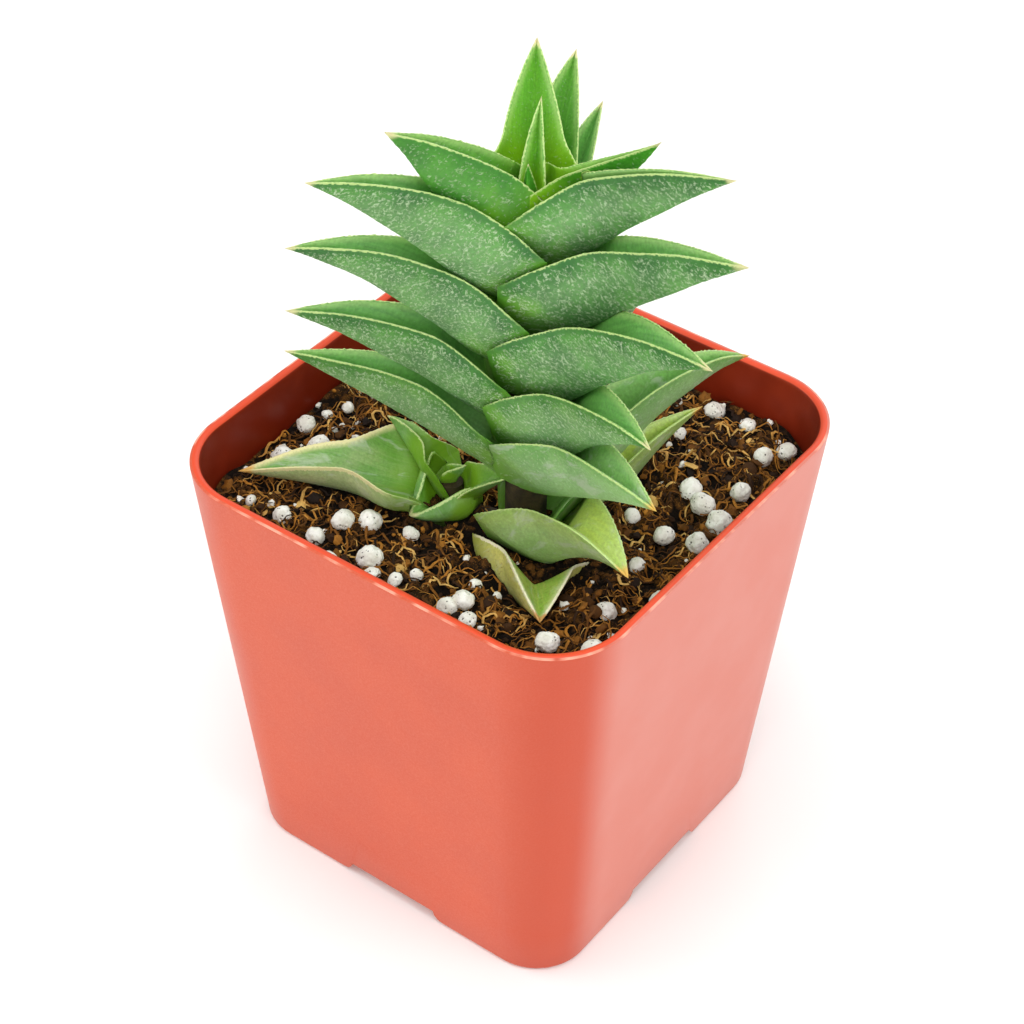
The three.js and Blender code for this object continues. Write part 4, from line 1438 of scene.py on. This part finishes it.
def makeFibres(material, trees, places, draw):
    # curly strands laid over the soil, each a thin four-sided tube that tapers at both ends
    points, faces, tones = [], [], []
    sides = fibre["sides"]
    count = tries = 0
    while count < fibre["count"] and tries < fibre["count"] * 4:
        tries += 1
        x, y = anywhere(draw)
        if not insidePot(x, y, 0.5) or nearGrain(places, x, y):
            continue
        path, thick = fibrePath(draw, x, y)
        if not all(insidePot(a, b, 0.3) for a, b, _ in path):
            continue
        spots = toFrame(path)
        if not all(clearOf(trees, spot, fibre["gap"]) for spot in spots[::2]):
            continue
        tone = min(max(draw.gauss(*fibre["tone"]), 0), 1)
        start, steps = len(points), len(path) - 1
        for step, spot in enumerate(spots):
            ahead = Vector(spots[min(step + 1, steps)]) - Vector(spots[max(step - 1, 0)])
            side = ahead.cross(Vector((0, 0, 1)))
            side = side.normalized() if side.length > 1e-9 else Vector((1, 0, 0))
            other = ahead.cross(side).normalized()
            radius = thick * mm * (0.35 + 0.65 * math.sin((step + 0.4) / (steps + 0.8) * math.pi))
            for corner in range(sides):
                angle = corner * 2 * math.pi / sides
                offAxis = math.cos(angle) * side + fibre["flat"] * math.sin(angle) * other
                points.append(Vector(spot) + radius * offAxis)
                tones.append(tone)
        for step in range(steps):
            for corner in range(sides):
                a = start + step * sides + corner
                b = start + step * sides + (corner + 1) % sides
                faces.append((a, b, b + sides, a + sides))
        faces.append(tuple(start + corner for corner in reversed(range(sides))))
        last = start + steps * sides
        faces.append(tuple(last + corner for corner in range(sides)))
        count += 1
    body = meshFrom("coirFibres", points, faces)
    pointAttribute(body, "strandTone", tones, "FLOAT")
    pick(body)
    editMode(True)
    faceOutwards()
    smoothShade(body, "fibre")
    dress(body, material)


# name: material, slot, how many, widths, least flatness, tone and its spread
crumbKinds = {
    "barkCrumbs": ("coir fibre", "soil", 620, (0.5, 1.9), 0.45, (0.35, 0.22)),
    "coirFlakes": ("coir fibre", "soil", 240, (0.7, 2.0), 0.14, (0.6, 0.27)),
    "perliteCrumbs": ("perlite", "perlite", 110, (0.5, 1.5), 0.7, (0.5, 0.2)),
}


def makeCrumbs(name, trees, places, draw):
    # small rough lumps strewn over the soil
    material, slotName, count, (least, most), flat, tone = crumbKinds[name]
    deselect()
    bpy.ops.mesh.primitive_ico_sphere_add(subdivisions=2, radius=0.5)
    model = bpy.context.object
    shape = [v.co.copy() for v in model.data.vertices]
    sides = [tuple(p.vertices) for p in model.data.polygons]
    bpy.data.objects.remove(model)
    points, faces, tones = [], [], []
    made = tries = 0
    while made < count and tries < count * 6:
        tries += 1
        x, y = anywhere(draw)
        width = least + (most - least) * draw.random() ** 2
        if not insidePot(x, y, width * 0.6) or nearGrain(places, x, y):
            continue
        z = surfaceAt(x, y) + width * 0.12
        if not clearOf(trees, toFrame((x, y, z)), width * 0.6 + 0.15):
            continue
        turn = (Matrix.Rotation(draw.uniform(0, 6.28), 3, "Z")
                @ Matrix.Rotation(draw.uniform(-0.9, 0.9), 3, "X"))
        stretch = [draw.uniform(*span) for span in ((0.7, 1.3), (0.6, 1.1), (flat, flat + 0.35))]
        start = len(points)
        value = min(max(draw.gauss(*tone), 0), 1)
        shift = Vector((made * 3.7, 1.3, 5.1))
        for corner in shape:
            rough = 1 + 0.55 * noise.noise(corner * 3.2 + shift)
            local = turn @ Vector(c * s for c, s in zip(corner * rough, stretch)) * width
            points.append(toFrame((x + local.x, y + local.y, z + local.z)))
            tones.append(value)
        faces += [tuple(start + i for i in side) for side in sides]
        made += 1
    body = meshFrom(name, points, faces)
    pointAttribute(body, "strandTone", tones, "FLOAT")
    smoothShade(body, "crumb")
    dress(body, bpy.data.materials[material])


# ---- the whole part

mottleGroup = makeMottle()
makeCamera()
makeLights()
makeFloor()
print("camera, light and floor: done")

makePot(plasticMaterial())
print("pot: done")

pieces, rooms = makePlant(leafMaterials(), stemMaterial())
print("leaves and stems:", len(pieces), "leaves")

makeSoil(soilMaterial(), rooms)
trees = leafTrees(pieces)
draw = random.Random(soil["seed"])
places = makePerlite(perliteMaterial(), trees, draw)
makeFibres(coirMaterial(), trees, places, draw)
for name in crumbKinds:
    makeCrumbs(name, trees, places, draw)
for room in rooms:
    bpy.data.objects.remove(room)
print("soil, perlite and coir: done")
